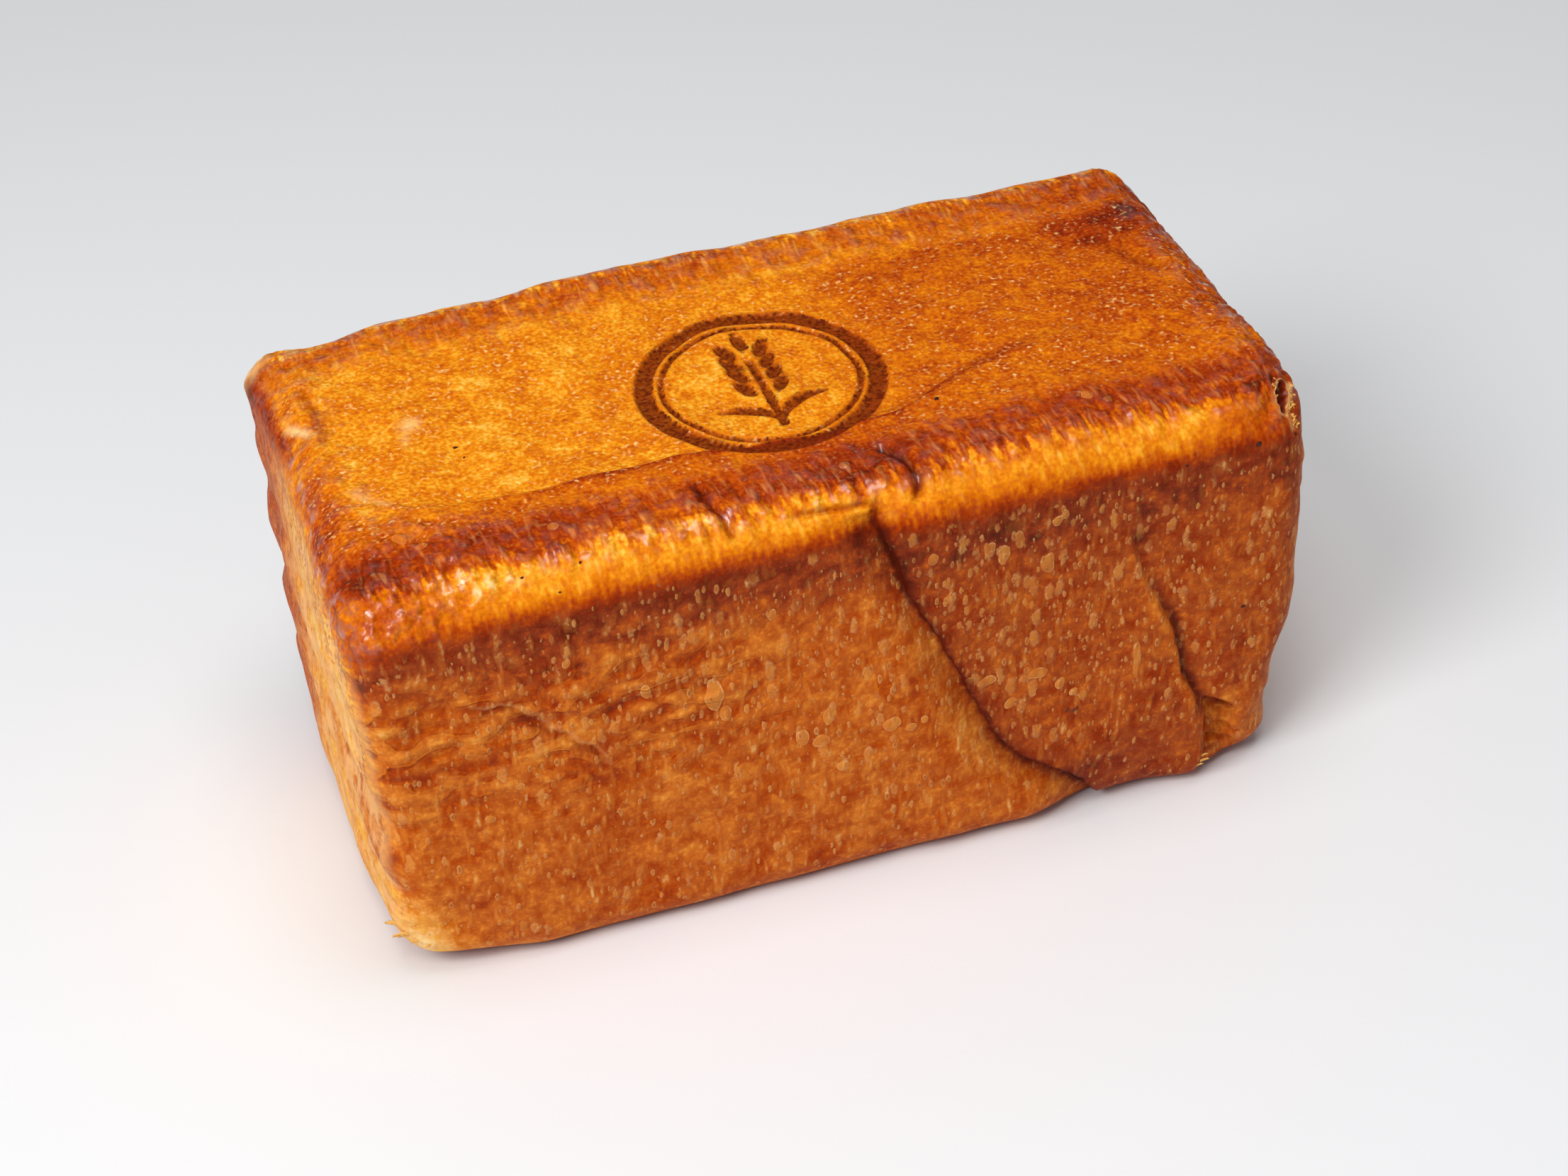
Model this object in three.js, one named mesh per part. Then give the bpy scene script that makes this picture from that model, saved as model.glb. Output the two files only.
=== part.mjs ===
// A square tin loaf, baked under a lid and standing on its base: one solid.
// Millimetres, +Z up. The loaf runs along X, and its creased long side faces -Y.
// The origin is the middle of the loaf's own box, on the surface that it stands on.
import * as THREE from "three";
import { mergeVertices } from "three/addons/utils/BufferGeometryUtils.js";

// Driving dimensions
const length = 238.5;
const width = 128;
const height = 117;
const lean = { x: 1.8, y: 4 }; // how far each end and each side draws in, from the top down to the base
const rounding = { top: 12.5, upright: 9.5, base: 9.5 }; // how far each kind of edge is rounded

const { lerp, smoothstep, clamp } = THREE.MathUtils;
const halfLength = length / 2;
const halfWidth = width / 2;

// The crust colour
const crust = new THREE.MeshStandardMaterial({ color: 0xb96a22, roughness: 0.45, metalness: 0 });
crust.name = "crust";

// ---- Lines that the relief follows -------------------------------------------------------------

// A smooth line through points [at, value], in order of at, and level beyond its ends.
function smoothLine(points) {
  const slopes = points.map((_, i) => {
    const [a, b] = [points[Math.max(i - 1, 0)], points[Math.min(i + 1, points.length - 1)]];
    return (b[1] - a[1]) / (b[0] - a[0]);
  });
  return (at) => {
    const last = points.length - 1;
    if (at <= points[0][0]) return points[0][1];
    if (at >= points[last][0]) return points[last][1];
    const i = points.findIndex((point) => point[0] > at) - 1;
    const step = points[i + 1][0] - points[i][0];
    const t = (at - points[i][0]) / step;
    const level = lerp(points[i][1], points[i + 1][1], t * t * (3 - 2 * t));
    return level + step * t * (1 - t) * ((1 - t) * slopes[i] - t * slopes[i + 1]);
  };
}

// The two creases of the long side, as [z, x]. The flap of crust between them laps over both.
const longCreaseX = smoothLine([
  [0, 66], [11, 59.5], [18, 52], [24, 44], [33, 36], [48, 29],
  [61, 23.5], [74, 18], [86, 12.5], [99, 9.5], [109, 6], [117, 3.5],
]);
const shortCreaseX = smoothLine([
  [0, 91.5], [29, 91], [40, 86.5], [57, 83], [72, 76.5], [86, 72.5], [117, 70],
]);
// How strongly each crease is folded, as [z, share].
const longCreaseFold = smoothLine([
  [0, 0.6], [11, 1], [36, 1], [60, 0.8], [85, 0.75], [100, 1], [109, 1], [114, 0],
]);
const shortCreaseFold = smoothLine([
  [0, 0], [22, 0.1], [31, 0.6], [58, 0.55], [70, 0.35], [84, 0.3], [93, 0],
]);
// The step between the part of the top that the lid pressed flat and the roll along its edge, as [x, y].
const lidStepRest = -24;
const lidStepY = smoothLine([
  [-halfLength, lidStepRest], [-105, -20], [-92, -27], [-78, -29],
  [-35, -29], [20, -31], [40, -22], [60, -18], [halfLength, lidStepRest],
]);
const lidStepHeight = smoothLine([[-112, 0], [-95, 0.9], [20, 0.9], [60, 0.5], [80, 0]]);
// The puckers across the end that faces -X, as [z, how far they stand out].
const puckers = smoothLine([
  [8, 0], [24, 0.9], [34, -0.5], [45, 0.9], [56, -1.3], [64, 0.4], [72, 0.8], [80, -0.4], [90, 0.5], [102, 0],
]);

// ---- Relief ------------------------------------------------------------------------------------

// Rolling unevenness between about -1 and 1: a sum of waves in seeded directions, lengths in millimetres.
function rollingWaves(seed, count, shortest, longest) {
  let state = seed;
  const next = () => {
    state = (state * 48271) % 2147483647;
    return state / 2147483647;
  };
  const waves = Array.from({ length: count }, () => {
    const [turn, rise] = [2 * Math.PI * next(), 2 * next() - 1];
    const flat = Math.sqrt(1 - rise * rise);
    const pitch = (2 * Math.PI) / lerp(shortest, longest, next());
    return [pitch * flat * Math.cos(turn), pitch * flat * Math.sin(turn), pitch * rise, 2 * Math.PI * next()];
  });
  return (p) => {
    const sum = waves.reduce((total, [kx, ky, kz, shift]) => total + Math.sin(kx * p.x + ky * p.y + kz * p.z + shift), 0);
    return sum / Math.sqrt(count);
  };
}
const broadWaves = rollingWaves(11, 9, 45, 110);
const smallWaves = rollingWaves(29, 12, 14, 30);

// A flap that laps over a crease: how far the crust stands out, at a distance across the crease and into the flap.
const lap = { depth: 3, crown: 1.4, lip: 2.8, reachUnder: 13, reachFlap: 30 };
function lapRelief(across) {
  if (across < 0) return -lap.depth * (1 - smoothstep(-across, 0, lap.reachUnder)) ** 1.6;
  const risen = (lap.depth + lap.crown) * smoothstep(across, 0, lap.lip);
  return risen - lap.depth - lap.crown * smoothstep(across, lap.lip, lap.reachFlap);
}

// The distance across a crease that runs at x = line(z), square to the line.
function acrossCrease(p, line) {
  const slope = (line(p.z + 1) - line(p.z - 1)) / 2;
  return (p.x - line(p.z)) / Math.hypot(1, slope);
}

// The lower corner is tucked in beside the short crease: it lies deeper there, under a slanting roof.
const tuck = { depth: 4.5, roof: { x: 91, z: 31, slope: 0.55 }, farX: 104, edge: 3.2 };
function tuckRelief(p) {
  const besideFlap = smoothstep(p.x - shortCreaseX(p.z), 0, tuck.edge);
  const underRoof = smoothstep(tuck.roof.z - tuck.roof.slope * (p.x - tuck.roof.x) - p.z, 0, tuck.edge);
  const beforeCorner = 1 - smoothstep(p.x, tuck.farX - tuck.edge, tuck.farX + tuck.edge);
  return -tuck.depth * besideFlap * underRoof * beforeCorner * smoothstep(p.z, -8, 14);
}

// Corners and edges that were pulled away from the tin as the loaf cooled: from, by how much, and how far round.
const pulls = [
  { from: [-119, -62, 0], by: [2.5, 4, 3.5], reach: 42 }, // lower corner of the creased side
  { from: [-108, 64, 117], by: [0, -1, -2.8], reach: 32 }, // far upper corner, lowered along the edge
  { from: [-118, 62, 110], by: [-1.6, 2.5, 0.5], reach: 15 }, // and sticking out at its tip
  { from: [112, -60, 2], by: [-1, 4, 3], reach: 24 }, // tucked corner
  { from: [119, -62, 22], by: [-5, 1, 0], reach: 30 }, // waist over the tucked corner
  { from: [70, -62, 0], by: [0, 4.5, 0], reach: 28 }, // lower edge of the flap
  { from: [119, -55, 92], by: [-1.6, 0, 0], reach: 45 }, // upper end of the creased side
  { from: [113, -59, 112], by: [-2.5, 1.5, -1], reach: 14 }, // torn corner above it
  { from: [119, 0, 0], by: [-3, 0, 0], reach: 60 }, // lower edge of the far end
  { from: [-119, 60, 0], by: [3, -3, 2.5], reach: 32 }, // far lower corners
  { from: [119, 62, 0], by: [-4, -3, 3], reach: 34 },
].map(({ from, by, reach }) => ({ from: new THREE.Vector3(...from), by: new THREE.Vector3(...by), reach }));

// ---- From a sharp box to the loaf --------------------------------------------------------------

// Takes a point on the sharp box to the rounded, drawn-in block, with the way that it faces there.
function roundedBlock(sharp) {
  const upright = lerp(rounding.upright, rounding.top, smoothstep(sharp.z, height - 35, height));
  const level = sharp.z > height / 2 ? rounding.top : rounding.base;
  const fromMiddle = [sharp.x, sharp.y, sharp.z - height / 2];
  const halves = [halfLength, halfWidth, height / 2];
  const reaches = [upright, upright, level];
  const share = fromMiddle.map((d, i) => Math.max(0, Math.abs(d) - halves[i] + reaches[i]) / reaches[i]);
  const turn = 1 / Math.hypot(...share);
  const [x, y, z] = fromMiddle.map((d, i) => d - Math.sign(d) * reaches[i] * share[i] * (1 - turn));
  const facing = new THREE.Vector3(...share.map((s, i) => s * turn * Math.sign(fromMiddle[i])));
  const down = 1 - (z + height / 2) / height;
  const at = new THREE.Vector3(
    x * (1 - (lean.x / halfLength) * down),
    y * (1 - (lean.y / halfWidth) * down),
    z + height / 2,
  );
  return { at, facing };
}

// Takes a point on the sharp box to the loaf's crust.
function crustPoint(sharp) {
  const { at, facing } = roundedBlock(sharp);
  const front = smoothstep(-facing.y, 0.25, 0.85);
  const top = smoothstep(facing.z, 0.3, 0.95);
  const left = smoothstep(-facing.x, 0.3, 0.9);
  const offBase = 1 - smoothstep(-facing.z, 0.55, 0.98);

  let out = offBase * (0.7 * broadWaves(at) + 0.25 * smallWaves(at));
  out += left * puckers(at.z + 0.04 * (60 - at.y));
  out -= 1.1 * top * (1 - (at.x / halfLength) ** 2) * (1 - (at.y / halfWidth) ** 2);
  out += top * lidStepHeight(at.x) * (1 - smoothstep(at.y - lidStepY(at.x), -1.2, 1.2)) * smoothstep(at.y, -62, -45);
  out += front * longCreaseFold(at.z) * lapRelief(acrossCrease(at, longCreaseX));
  out += front * shortCreaseFold(at.z) * lapRelief(-acrossCrease(at, shortCreaseX));
  out += front * tuckRelief(at);

  const moved = at.clone().addScaledVector(facing, out);
  for (const { from, by, reach } of pulls) {
    const near = Math.max(0, 1 - (at.distanceTo(from) / reach) ** 2);
    moved.addScaledVector(by, near * near);
  }
  moved.z = Math.max(0, moved.z);
  return moved;
}

// ---- The grid on the sharp box -----------------------------------------------------------------

// Places from a to b: set distances in from each end, and even steps between them.
function placesBetween(a, b, inFromA, inFromB, steps) {
  const [first, last] = [a + inFromA.at(-1), b - inFromB.at(-1)];
  const even = Array.from({ length: steps - 1 }, (_, i) => lerp(first, last, (i + 1) / steps));
  return [...inFromA.map((d) => a + d), ...even, ...inFromB.map((d) => b - d).reverse()];
}

// Places inside a rounded edge, so that its arc is cut into equal turns.
const arcSteps = 4;
const inRounding = (reach) =>
  Array.from({ length: arcSteps + 1 }, (_, i) => reach * (1 - Math.tan(((arcSteps - i) / arcSteps) * (Math.PI / 4))));

const besideCrease = { under: [0, 1.6, 4, 8], flap: [0, 1.5, 3, 7] };
const atCrease = [0, 2.5];

// The grid's X places at a height z. Two of them follow the creases on the long side, and run straight on the far side.
function columns(y, z) {
  const atFront = (halfWidth - y) / width;
  const long = lerp(longCreaseX(height), longCreaseX(z), atFront);
  const short = lerp(shortCreaseX(height), shortCreaseX(z), atFront);
  return [
    ...placesBetween(-halfLength, long, inRounding(rounding.upright), besideCrease.under, 13),
    ...placesBetween(long, short, besideCrease.flap, atCrease, 5).slice(1),
    ...placesBetween(short, halfLength, atCrease, inRounding(rounding.upright), 5).slice(1),
  ];
}

// The grid's Y places, of which one follows the lid's step across the top.
const besideStep = [0, 1.3];
function lines(stepY) {
  return [
    ...placesBetween(-halfWidth, stepY, inRounding(rounding.upright), besideStep, 4),
    ...placesBetween(stepY, halfWidth, besideStep, inRounding(rounding.upright), 8).slice(1),
  ];
}

// The grid's Z places, which lie closer together beside the tucked corner.
const fineBelow = 34;
const levels = [
  ...placesBetween(0, fineBelow, inRounding(rounding.base), [0], 7),
  ...placesBetween(fineBelow, height, [0], inRounding(rounding.top), 11).slice(1),
];

// ---- The solid ---------------------------------------------------------------------------------

const positions = [];
const faces = [];

// Adds one side of the grid. sharpAt(i, j) gives the sharp box's points, and its faces look along i x j.
function addSide(countI, countJ, sharpAt) {
  const first = positions.length / 3;
  for (let j = 0; j < countJ; j++) {
    for (let i = 0; i < countI; i++) positions.push(...crustPoint(new THREE.Vector3(...sharpAt(i, j))));
  }
  const point = (index) => new THREE.Vector3().fromArray(positions, 3 * index);
  for (let j = 0; j < countJ - 1; j++) {
    for (let i = 0; i < countI - 1; i++) {
      const a = first + j * countI + i;
      const [b, c, d] = [a + 1, a + countI + 1, a + countI];
      // The shorter diagonal parts the four-sided patch.
      if (point(a).distanceTo(point(c)) < point(b).distanceTo(point(d))) faces.push(a, b, c, a, c, d);
      else faces.push(a, b, d, b, c, d);
    }
  }
}

const [nx, ny, nz] = [columns(0, 0).length, lines(lidStepRest).length, levels.length];
const straight = lines(lidStepRest);
const across = (i, y, z) => columns(y, z)[i];

addSide(nx, nz, (i, k) => [across(i, -halfWidth, levels[k]), -halfWidth, levels[k]]);
addSide(nz, nx, (k, i) => [across(i, halfWidth, levels[k]), halfWidth, levels[k]]);
addSide(nx, ny, (i, j) => [across(i, 0, height), lines(lidStepY(across(i, 0, height)))[j], height]);
addSide(ny, nx, (j, i) => [across(i, straight[j], 0), straight[j], 0]);
addSide(nz, ny, (k, j) => [-halfLength, straight[j], levels[k]]);
addSide(ny, nz, (j, k) => [halfLength, straight[j], levels[k]]);

let geometry = new THREE.BufferGeometry();
geometry.setAttribute("position", new THREE.Float32BufferAttribute(positions, 3));
geometry.setIndex(faces);
geometry = mergeVertices(geometry, 1e-3);
geometry.computeBoundingBox();
const middle = geometry.boundingBox.getCenter(new THREE.Vector3());
geometry.translate(-middle.x, -middle.y, 0);
geometry.computeVertexNormals();

const loaf = new THREE.Mesh(geometry, crust);
loaf.name = "loaf";

const part = new THREE.Group();
part.add(loaf);
export default part;
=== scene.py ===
import math
import random
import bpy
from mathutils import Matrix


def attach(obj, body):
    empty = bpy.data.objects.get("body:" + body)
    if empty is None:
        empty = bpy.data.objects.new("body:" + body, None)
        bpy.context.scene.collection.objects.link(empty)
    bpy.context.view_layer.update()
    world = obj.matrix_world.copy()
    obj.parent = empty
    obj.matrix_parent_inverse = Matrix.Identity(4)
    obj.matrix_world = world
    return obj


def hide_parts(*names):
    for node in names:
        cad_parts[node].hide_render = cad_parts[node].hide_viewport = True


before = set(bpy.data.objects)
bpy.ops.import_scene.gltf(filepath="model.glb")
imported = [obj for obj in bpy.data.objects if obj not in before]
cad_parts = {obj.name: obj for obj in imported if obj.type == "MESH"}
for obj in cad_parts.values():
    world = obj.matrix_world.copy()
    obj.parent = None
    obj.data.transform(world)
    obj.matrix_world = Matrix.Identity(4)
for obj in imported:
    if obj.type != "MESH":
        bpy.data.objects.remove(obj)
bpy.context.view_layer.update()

from types import SimpleNamespace

import bpy
import numpy as np
from mathutils import Matrix, Vector, noise
from mathutils.bvhtree import BVHTree

# All shaping below is in millimetres, in the loaf's own frame. Meshes are turned into metres as they are made.
metre = 0.001


def fade(value, low, high):  # 0 up to low and 1 from high on, or the other way round where low is the larger
    t = np.clip((value - low) / (high - low), 0, 1)
    return t * t * (3 - 2 * t)


def bump(value, centre, reach):  # 1 at centre, 0 from reach on
    return np.clip(1 - ((value - centre) / reach) ** 2, 0, 1) ** 2


def bell(value, reach):  # 1 at 0, softly down on both sides
    return np.exp(-(value / reach) ** 2)


def spot(*ways):  # 1 in the middle of a spot, 0 at its edge; each way is a place, its middle and its reach
    return np.maximum(0, 1 - np.sqrt(sum(((value - middle) / reach) ** 2 for value, middle, reach in ways)))


def within(value, low, high):
    return (value > low) & (value < high)


def blend(a, b, share):
    return a + (b - a) * share


def smoothLine(points):  # a smooth line through [at, value], level beyond its ends
    at, level = np.array(points, float).T
    count = len(at)
    before, after = np.maximum(np.arange(count) - 1, 0), np.minimum(np.arange(count) + 1, count - 1)
    slope = (level[after] - level[before]) / (at[after] - at[before])

    def valueAt(place):
        held = np.clip(place, at[0], at[-1])
        i = np.clip(np.searchsorted(at, held, side="right") - 1, 0, count - 2)
        step = at[i + 1] - at[i]
        t = (held - at[i]) / step
        value = level[i] + (level[i + 1] - level[i]) * t * t * (3 - 2 * t)
        return value + step * t * (1 - t) * ((1 - t) * slope[i] - t * slope[i + 1])
    return valueAt


def smoothPath(points, steps=6):  # a rounder path through the same points
    p = np.array(points, float)
    p = np.vstack([2 * p[0] - p[1], p, 2 * p[-1] - p[-2]])
    t = np.linspace(0, 1, steps, endpoint=False)[:, None]
    parts = [0.5 * (2 * b + (c - a) * t + (2 * a - 5 * b + 4 * c - d) * t ** 2 + (3 * b - a - 3 * c + d) * t ** 3)
             for a, b, c, d in zip(p[:-3], p[1:-2], p[2:-1], p[3:])]
    return np.vstack(parts + [p[-2:-1]])


def pathGap(ways, path):  # distance from a path, the share of its length there, and on a plane the side, 1 on its left
    at, path = np.stack(ways), np.array(path, float)
    nearest, share, side = np.full(at[0].shape, 1e9), np.zeros(at[0].shape), np.zeros(at[0].shape)
    for i, (p, q) in enumerate(zip(path[:-1], path[1:])):
        along, off = (q - p)[:, None], at - p[:, None]
        t = np.clip((off * along).sum(0) / np.dot(q - p, q - p), 0, 1)
        off = off - along * t
        gap = np.linalg.norm(off, axis=0)
        closer = gap < nearest
        nearest, share = np.where(closer, gap, nearest), np.where(closer, (i + t) / (len(path) - 1), share)
        side = np.where(closer, np.sign(along[0] * off[1] - along[1] * off[0]), side)
    return nearest, share, side


def besidePath(a, b, points):  # the same for a smooth path on a plane, the distance less than 0 on its right
    nearest, share, side = pathGap((a, b), smoothPath(points))
    return nearest * side, share


def rollingWaves(seed, count, shortest, longest):  # broad unevenness, the same as in the solid
    state = seed

    def draw():
        nonlocal state
        state = state * 48271 % 2147483647
        return state / 2147483647
    waves = []
    for _ in range(count):
        turn, rise = 2 * math.pi * draw(), 2 * draw() - 1
        flat = math.sqrt(1 - rise * rise)
        pitch = 2 * math.pi / blend(shortest, longest, draw())
        waves.append((pitch * flat * math.cos(turn), pitch * flat * math.sin(turn), pitch * rise, 2 * math.pi * draw()))
    return lambda s: sum(np.sin(kx * s.x + ky * s.y + kz * s.z + shift)
                         for kx, ky, kz, shift in waves) / math.sqrt(count)


def sampled(s, size, seed, where, sample):  # size in mm is one number, or one each along x, y and z
    points = np.stack([s.x, s.y, s.z], -1) / np.array(size) + seed
    result = np.zeros(len(points))
    for i in np.flatnonzero(where):
        result[i] = sample(points[i])
    return result


def roughness(s, size, seed, where):  # noise, about -1 to 1
    return sampled(s, size, seed, where, noise.noise)


def grains(s, size, seed, where):  # rounded grains, 0 between them and 1 on top of each
    return sampled(s, size, seed, where, lambda at: max(0, 1 - (noise.voronoi(at)[0][0] / 0.75) ** 2))


def newObject(name, data):
    made = bpy.data.objects.new(name, data)
    bpy.context.scene.collection.objects.link(made)
    return made


def newMesh(name, points, faces):  # points in millimetres
    mesh = bpy.data.meshes.new(name)
    mesh.from_pydata((np.array(points) * metre).tolist(), [], faces)
    mesh.update()
    mesh.shade_smooth()
    return newObject(name, mesh)


cameraView = {
    "azimuth": -16.158, "elevation": 37.564, "roll": -3.545,  # degrees
    "target": (-0.00036, -0.00528, 0.05177), "distance": 0.8223, "lens": 74.315, "sensor": 36, "clip": (0.01, 20),
}


def buildCamera():
    v = cameraView
    a, e, r = (math.radians(v[k]) for k in ("azimuth", "elevation", "roll"))
    back = Vector((math.sin(a) * math.cos(e), -math.cos(a) * math.cos(e), math.sin(e)))
    right = Vector((math.cos(a), math.sin(a), 0))
    up = back.cross(right)
    right, up = right * math.cos(r) + up * math.sin(r), up * math.cos(r) - right * math.sin(r)
    data = bpy.data.cameras.new("camera")
    data.sensor_fit, data.sensor_width, data.lens = "HORIZONTAL", v["sensor"], v["lens"]
    data.clip_start, data.clip_end = v["clip"]
    camera = newObject("camera", data)
    turn = Matrix((right, up, back)).transposed().to_4x4()
    camera.matrix_world = Matrix.Translation(Vector(v["target"]) + back * v["distance"]) @ turn
    bpy.context.scene.camera = camera


buildCamera()
print("camera placed")


loafForm = {
    "length": 238.5, "width": 128, "height": 117,
    "leanX": 1.8, "leanY": 4,  # drawn in towards the base
    "roundTop": 12.5, "roundUpright": 9.5, "roundBase": 9.5, "roundBelow": 35,  # the uprights get rounder from here up
    "sag": 1.1,
    "puckers": [[8, 0], [24, 0.9], [34, -0.5], [45, 0.9], [56, -1.3], [64, 0.4], [72, 0.8], [80, -0.4], [90, 0.5],
                [102, 0]],  # [z, out] of the near end
}
creaseForm = {
    "longLine": [[0, 66], [11, 59.5], [18, 52], [24, 44], [33, 36], [48, 29],
                 [61, 23.5], [74, 18], [86, 12.5], [99, 9.5], [109, 6], [117, 3.5]],  # [z, x]
    "longFold": [[0, 0.6], [11, 1], [36, 1], [60, 0.8], [85, 0.75], [100, 1], [109, 1], [114, 0]],
    "shortLine": [[0, 91.5], [29, 91], [40, 86.5], [57, 83], [72, 76.5], [86, 72.5], [117, 70]],
    "shortFold": [[0, 0], [22, 0.1], [31, 0.6], [58, 0.55], [70, 0.35], [84, 0.3], [93, 0]],
    "depth": 3, "crown": 1.4, "lip": 2.8, "under": 13, "flap": 30,
    "overhang": 2.4, "underShift": 0.9,  # how far the flap's edge hangs over its crease, and the crease's own shift
}
tuckForm = {"depth": 4.5, "roofX": 91, "roofZ": 31, "roofSlope": 0.55, "farX": 104, "edge": 3.2}
lidForm = {
    "line": [[-119.25, -24], [-105, -20], [-92, -27], [-78, -29], [-35, -29], [20, -31], [40, -22], [60, -18],
             [119.25, -24]],  # [x, y] of the step that the lid left
    "step": [[-112, 0], [-95, 0.9], [20, 0.9], [60, 0.5], [80, 0]],
}
pullForm = [  # from, by, reach: corners and edges that drew away from the tin
    ((-119, -62, 0), (2.5, 4, 3.5), 42), ((-108, 64, 117), (0, -1, -2.8), 32), ((-118, 62, 110), (-1.6, 2.5, 0.5), 15),
    ((112, -60, 2), (-1, 4, 3), 24), ((119, -62, 22), (-5, 1, 0), 30), ((70, -62, 0), (0, 4.5, 0), 28),
    ((119, -55, 92), (-1.6, 0, 0), 45), ((113, -59, 112), (-1.6, 1.5, -1), 14), ((117, -50, 111), (0.8, 0, 0.6), 10),
    ((115, -34, 117), (1.6, 0, 1), 18), ((119, 0, 0), (-3, 0, 0), 60), ((-119, 60, 0), (3, -3, 2.5), 32),
    ((119, 62, 0), (-4, -3, 3), 34),
]
# Short folds: the plane of the path, the fold's depth, the half width of its groove, how far its left lip stands
# up, its waver, how deeply it is shaded, and the path.
foldForm = {
    "shoulderFold": ("xy", 1, 1.2, 0.3, 0.5, 0.6, [(-31, -41), (-30, -46), (-29.5, -51), (-27.5, -56), (-26.5, -62)]),
    "crescentFold": ("xy", 1.3, 1.3, 0.6, 0.5, 0.9, [(13, -42), (15.5, -45), (17.6, -50), (18.8, -55), (18.2, -59),
                                                     (16, -62)]),
    "lidCrease": ("xy", 0.5, 1.5, -0.4, 1.2, 0.2, [(8, -31), (24, -28), (40, -24), (50, -18), (62, -15), (82, -13)]),
    "farCrease": ("xy", 0.5, 1.4, 0.2, 1, 0.5, [(92, 27), (97, 20), (100, 14), (107, 2)]),
    "nearCrease": ("xy", 0.5, 1.4, -0.2, 1, 0.5, [(-110, 34), (-108.5, 25), (-108, 17), (-109, 6)]),
    "creaseTurn": ("xv", 1.1, 1.6, 0.4, 0.6, 0.5, [(7, 113), (6.5, 117.5), (1, 118.6), (-5, 119.3), (-14, 120.5)]),
    "sideWrinkle": ("xz", 0.32, 0.6, 0.16, 1.1, 0.25, [
        (-96, 85), (-90, 83.5), (-85, 82.5), (-80.5, 79), (-77, 75), (-73, 71), (-68.5, 66.5), (-66, 64.5),
        (-63.7, 60.5), (-60, 53.5)]),
}
# Large flat blisters on the creased side: x, z, half width, half height.
blisterForm = [
    (-35.5, 71, 2.3, 4.8), (-33, 65, 1.6, 2.6), (-14.5, 51.5, 1.7, 2.8), (-10, 49, 2.2, 2), (-4.5, 39, 1.5, 1.6),
    (-8, 56, 1.2, 2.6), (8, 49, 2.3, 2.1), (13, 46.5, 1.6, 1.2), (16.5, 47.5, 1.1, 1.3), (34, 55, 2.2, 1.6),
    (30, 57, 1.5, 1), (46, 53, 3, 1.8), (52, 48, 1.4, 1.8), (40, 46, 1.5, 1.7), (33.5, 95.5, 1.4, 2.4),
    (37, 92.5, 1.6, 3), (41, 96, 1.3, 3.3), (50.5, 99, 1.4, 1.6), (52.5, 100.5, 0.9, 1.5), (48.5, 86.5, 2, 3.4),
    (20, 97, 1.1, 1.7), (58, 42, 1.2, 1.5), (55.5, 44, 1.3, 1.2), (72, 50, 0.9, 6.5), (24, 84, 1.3, 1.6),
    (-52, 78, 1.3, 2.2), (-20, 90, 1.2, 1.8), (-70, 92, 1, 1.4), (-92, 50, 1.4, 1.3), (-84, 58, 1.2, 1.2),
]
# Domed white-topped blisters along the edges of the top: x, y, radius.
topBlisterForm = [
    (-114.5, 34.5, 1.9), (-114, 25.5, 2), (-105.7, 27.5, 1.5), (-103, 32, 1.3), (-100, -38, 1.8), (-96, -43, 1.5),
    (-104, -33, 1.4), (-31, -50, 1.4), (4, -47, 1.3), (11, -52, 1.3), (66, -44, 1.5), (70, -47, 1.1), (-66, -46, 1.4),
]
tearForm = {
    "hole": [(114.2, -52.5, 114.2), (113.2, -55.7, 113.4), (112.6, -58.9, 111.6)],
    "split": [(112.6, -58.9, 111.6), (112.5, -60.3, 109.6), (113.4, -60.9, 107.3), (115.4, -60.6, 104.8)],
    "flakyStrip": [(116.2, -52.3, 112.8), (115.1, -55.5, 111.8), (113.6, -59, 110), (113.9, -60.6, 107.6)],
    "halfHole": 1.05, "halfSplit": 0.6, "depth": 2.8,
}
# The burnt mark in the top, a ring round an ear of wheat.
markForm = {
    "centre": (-3, -5.5), "ring": 28.5, "ringHalf": 2.1, "innerRing": 24.2, "innerHalf": 0.55,
    "pairs": 4, "grain": (3.2, 7), "grainLean": 26, "topGrain": 18.3, "stalk": 0.85, "stalkMiddle": -4.5,
    "stalkHalf": 14.5, "leaf": [(0, -17), (3, -12.5), (8, -9.5), (13.5, -9)], "leafHalf": 1.5, "press": 0.75,
}
# Fine unevenness, by where it shows: its height, its size along x, y and z, and its seed.
unevenForm = {
    "lumps": [(0.35, 6, 7.7), (0.3, (2.3, 3.2, 3.2), 1.9)],
    "pleats": [(0.34, (2, 7, 7), 5.5), (0.3, (4.5, 9, 9), 2.5)],
    "top": [(0.3, (15, 11, 15), 1.3), (0.16, (5, 4, 5), 6.1)],
    "sides": [(0.25, (11, 11, 15), 2.4), (0.1, (3.5, 3.5, 5), 3.9)],
    "ripple": [(0.55, (12, 9, 4.2), 8.8)],
    "ends": [(0.5, (9, 26, 5), 0.7), (0.2, (4, 6, 2.2), 5.1)],
    "grains": [(0.55, 4.4, 3.3), (0.5, 2.5, 8.1)],  # on the lumps
    "waves": [(0.7, 11, 9, 45, 110), (0.25, 29, 12, 14, 30)],  # height, seed, count, shortest and longest
}


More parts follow.
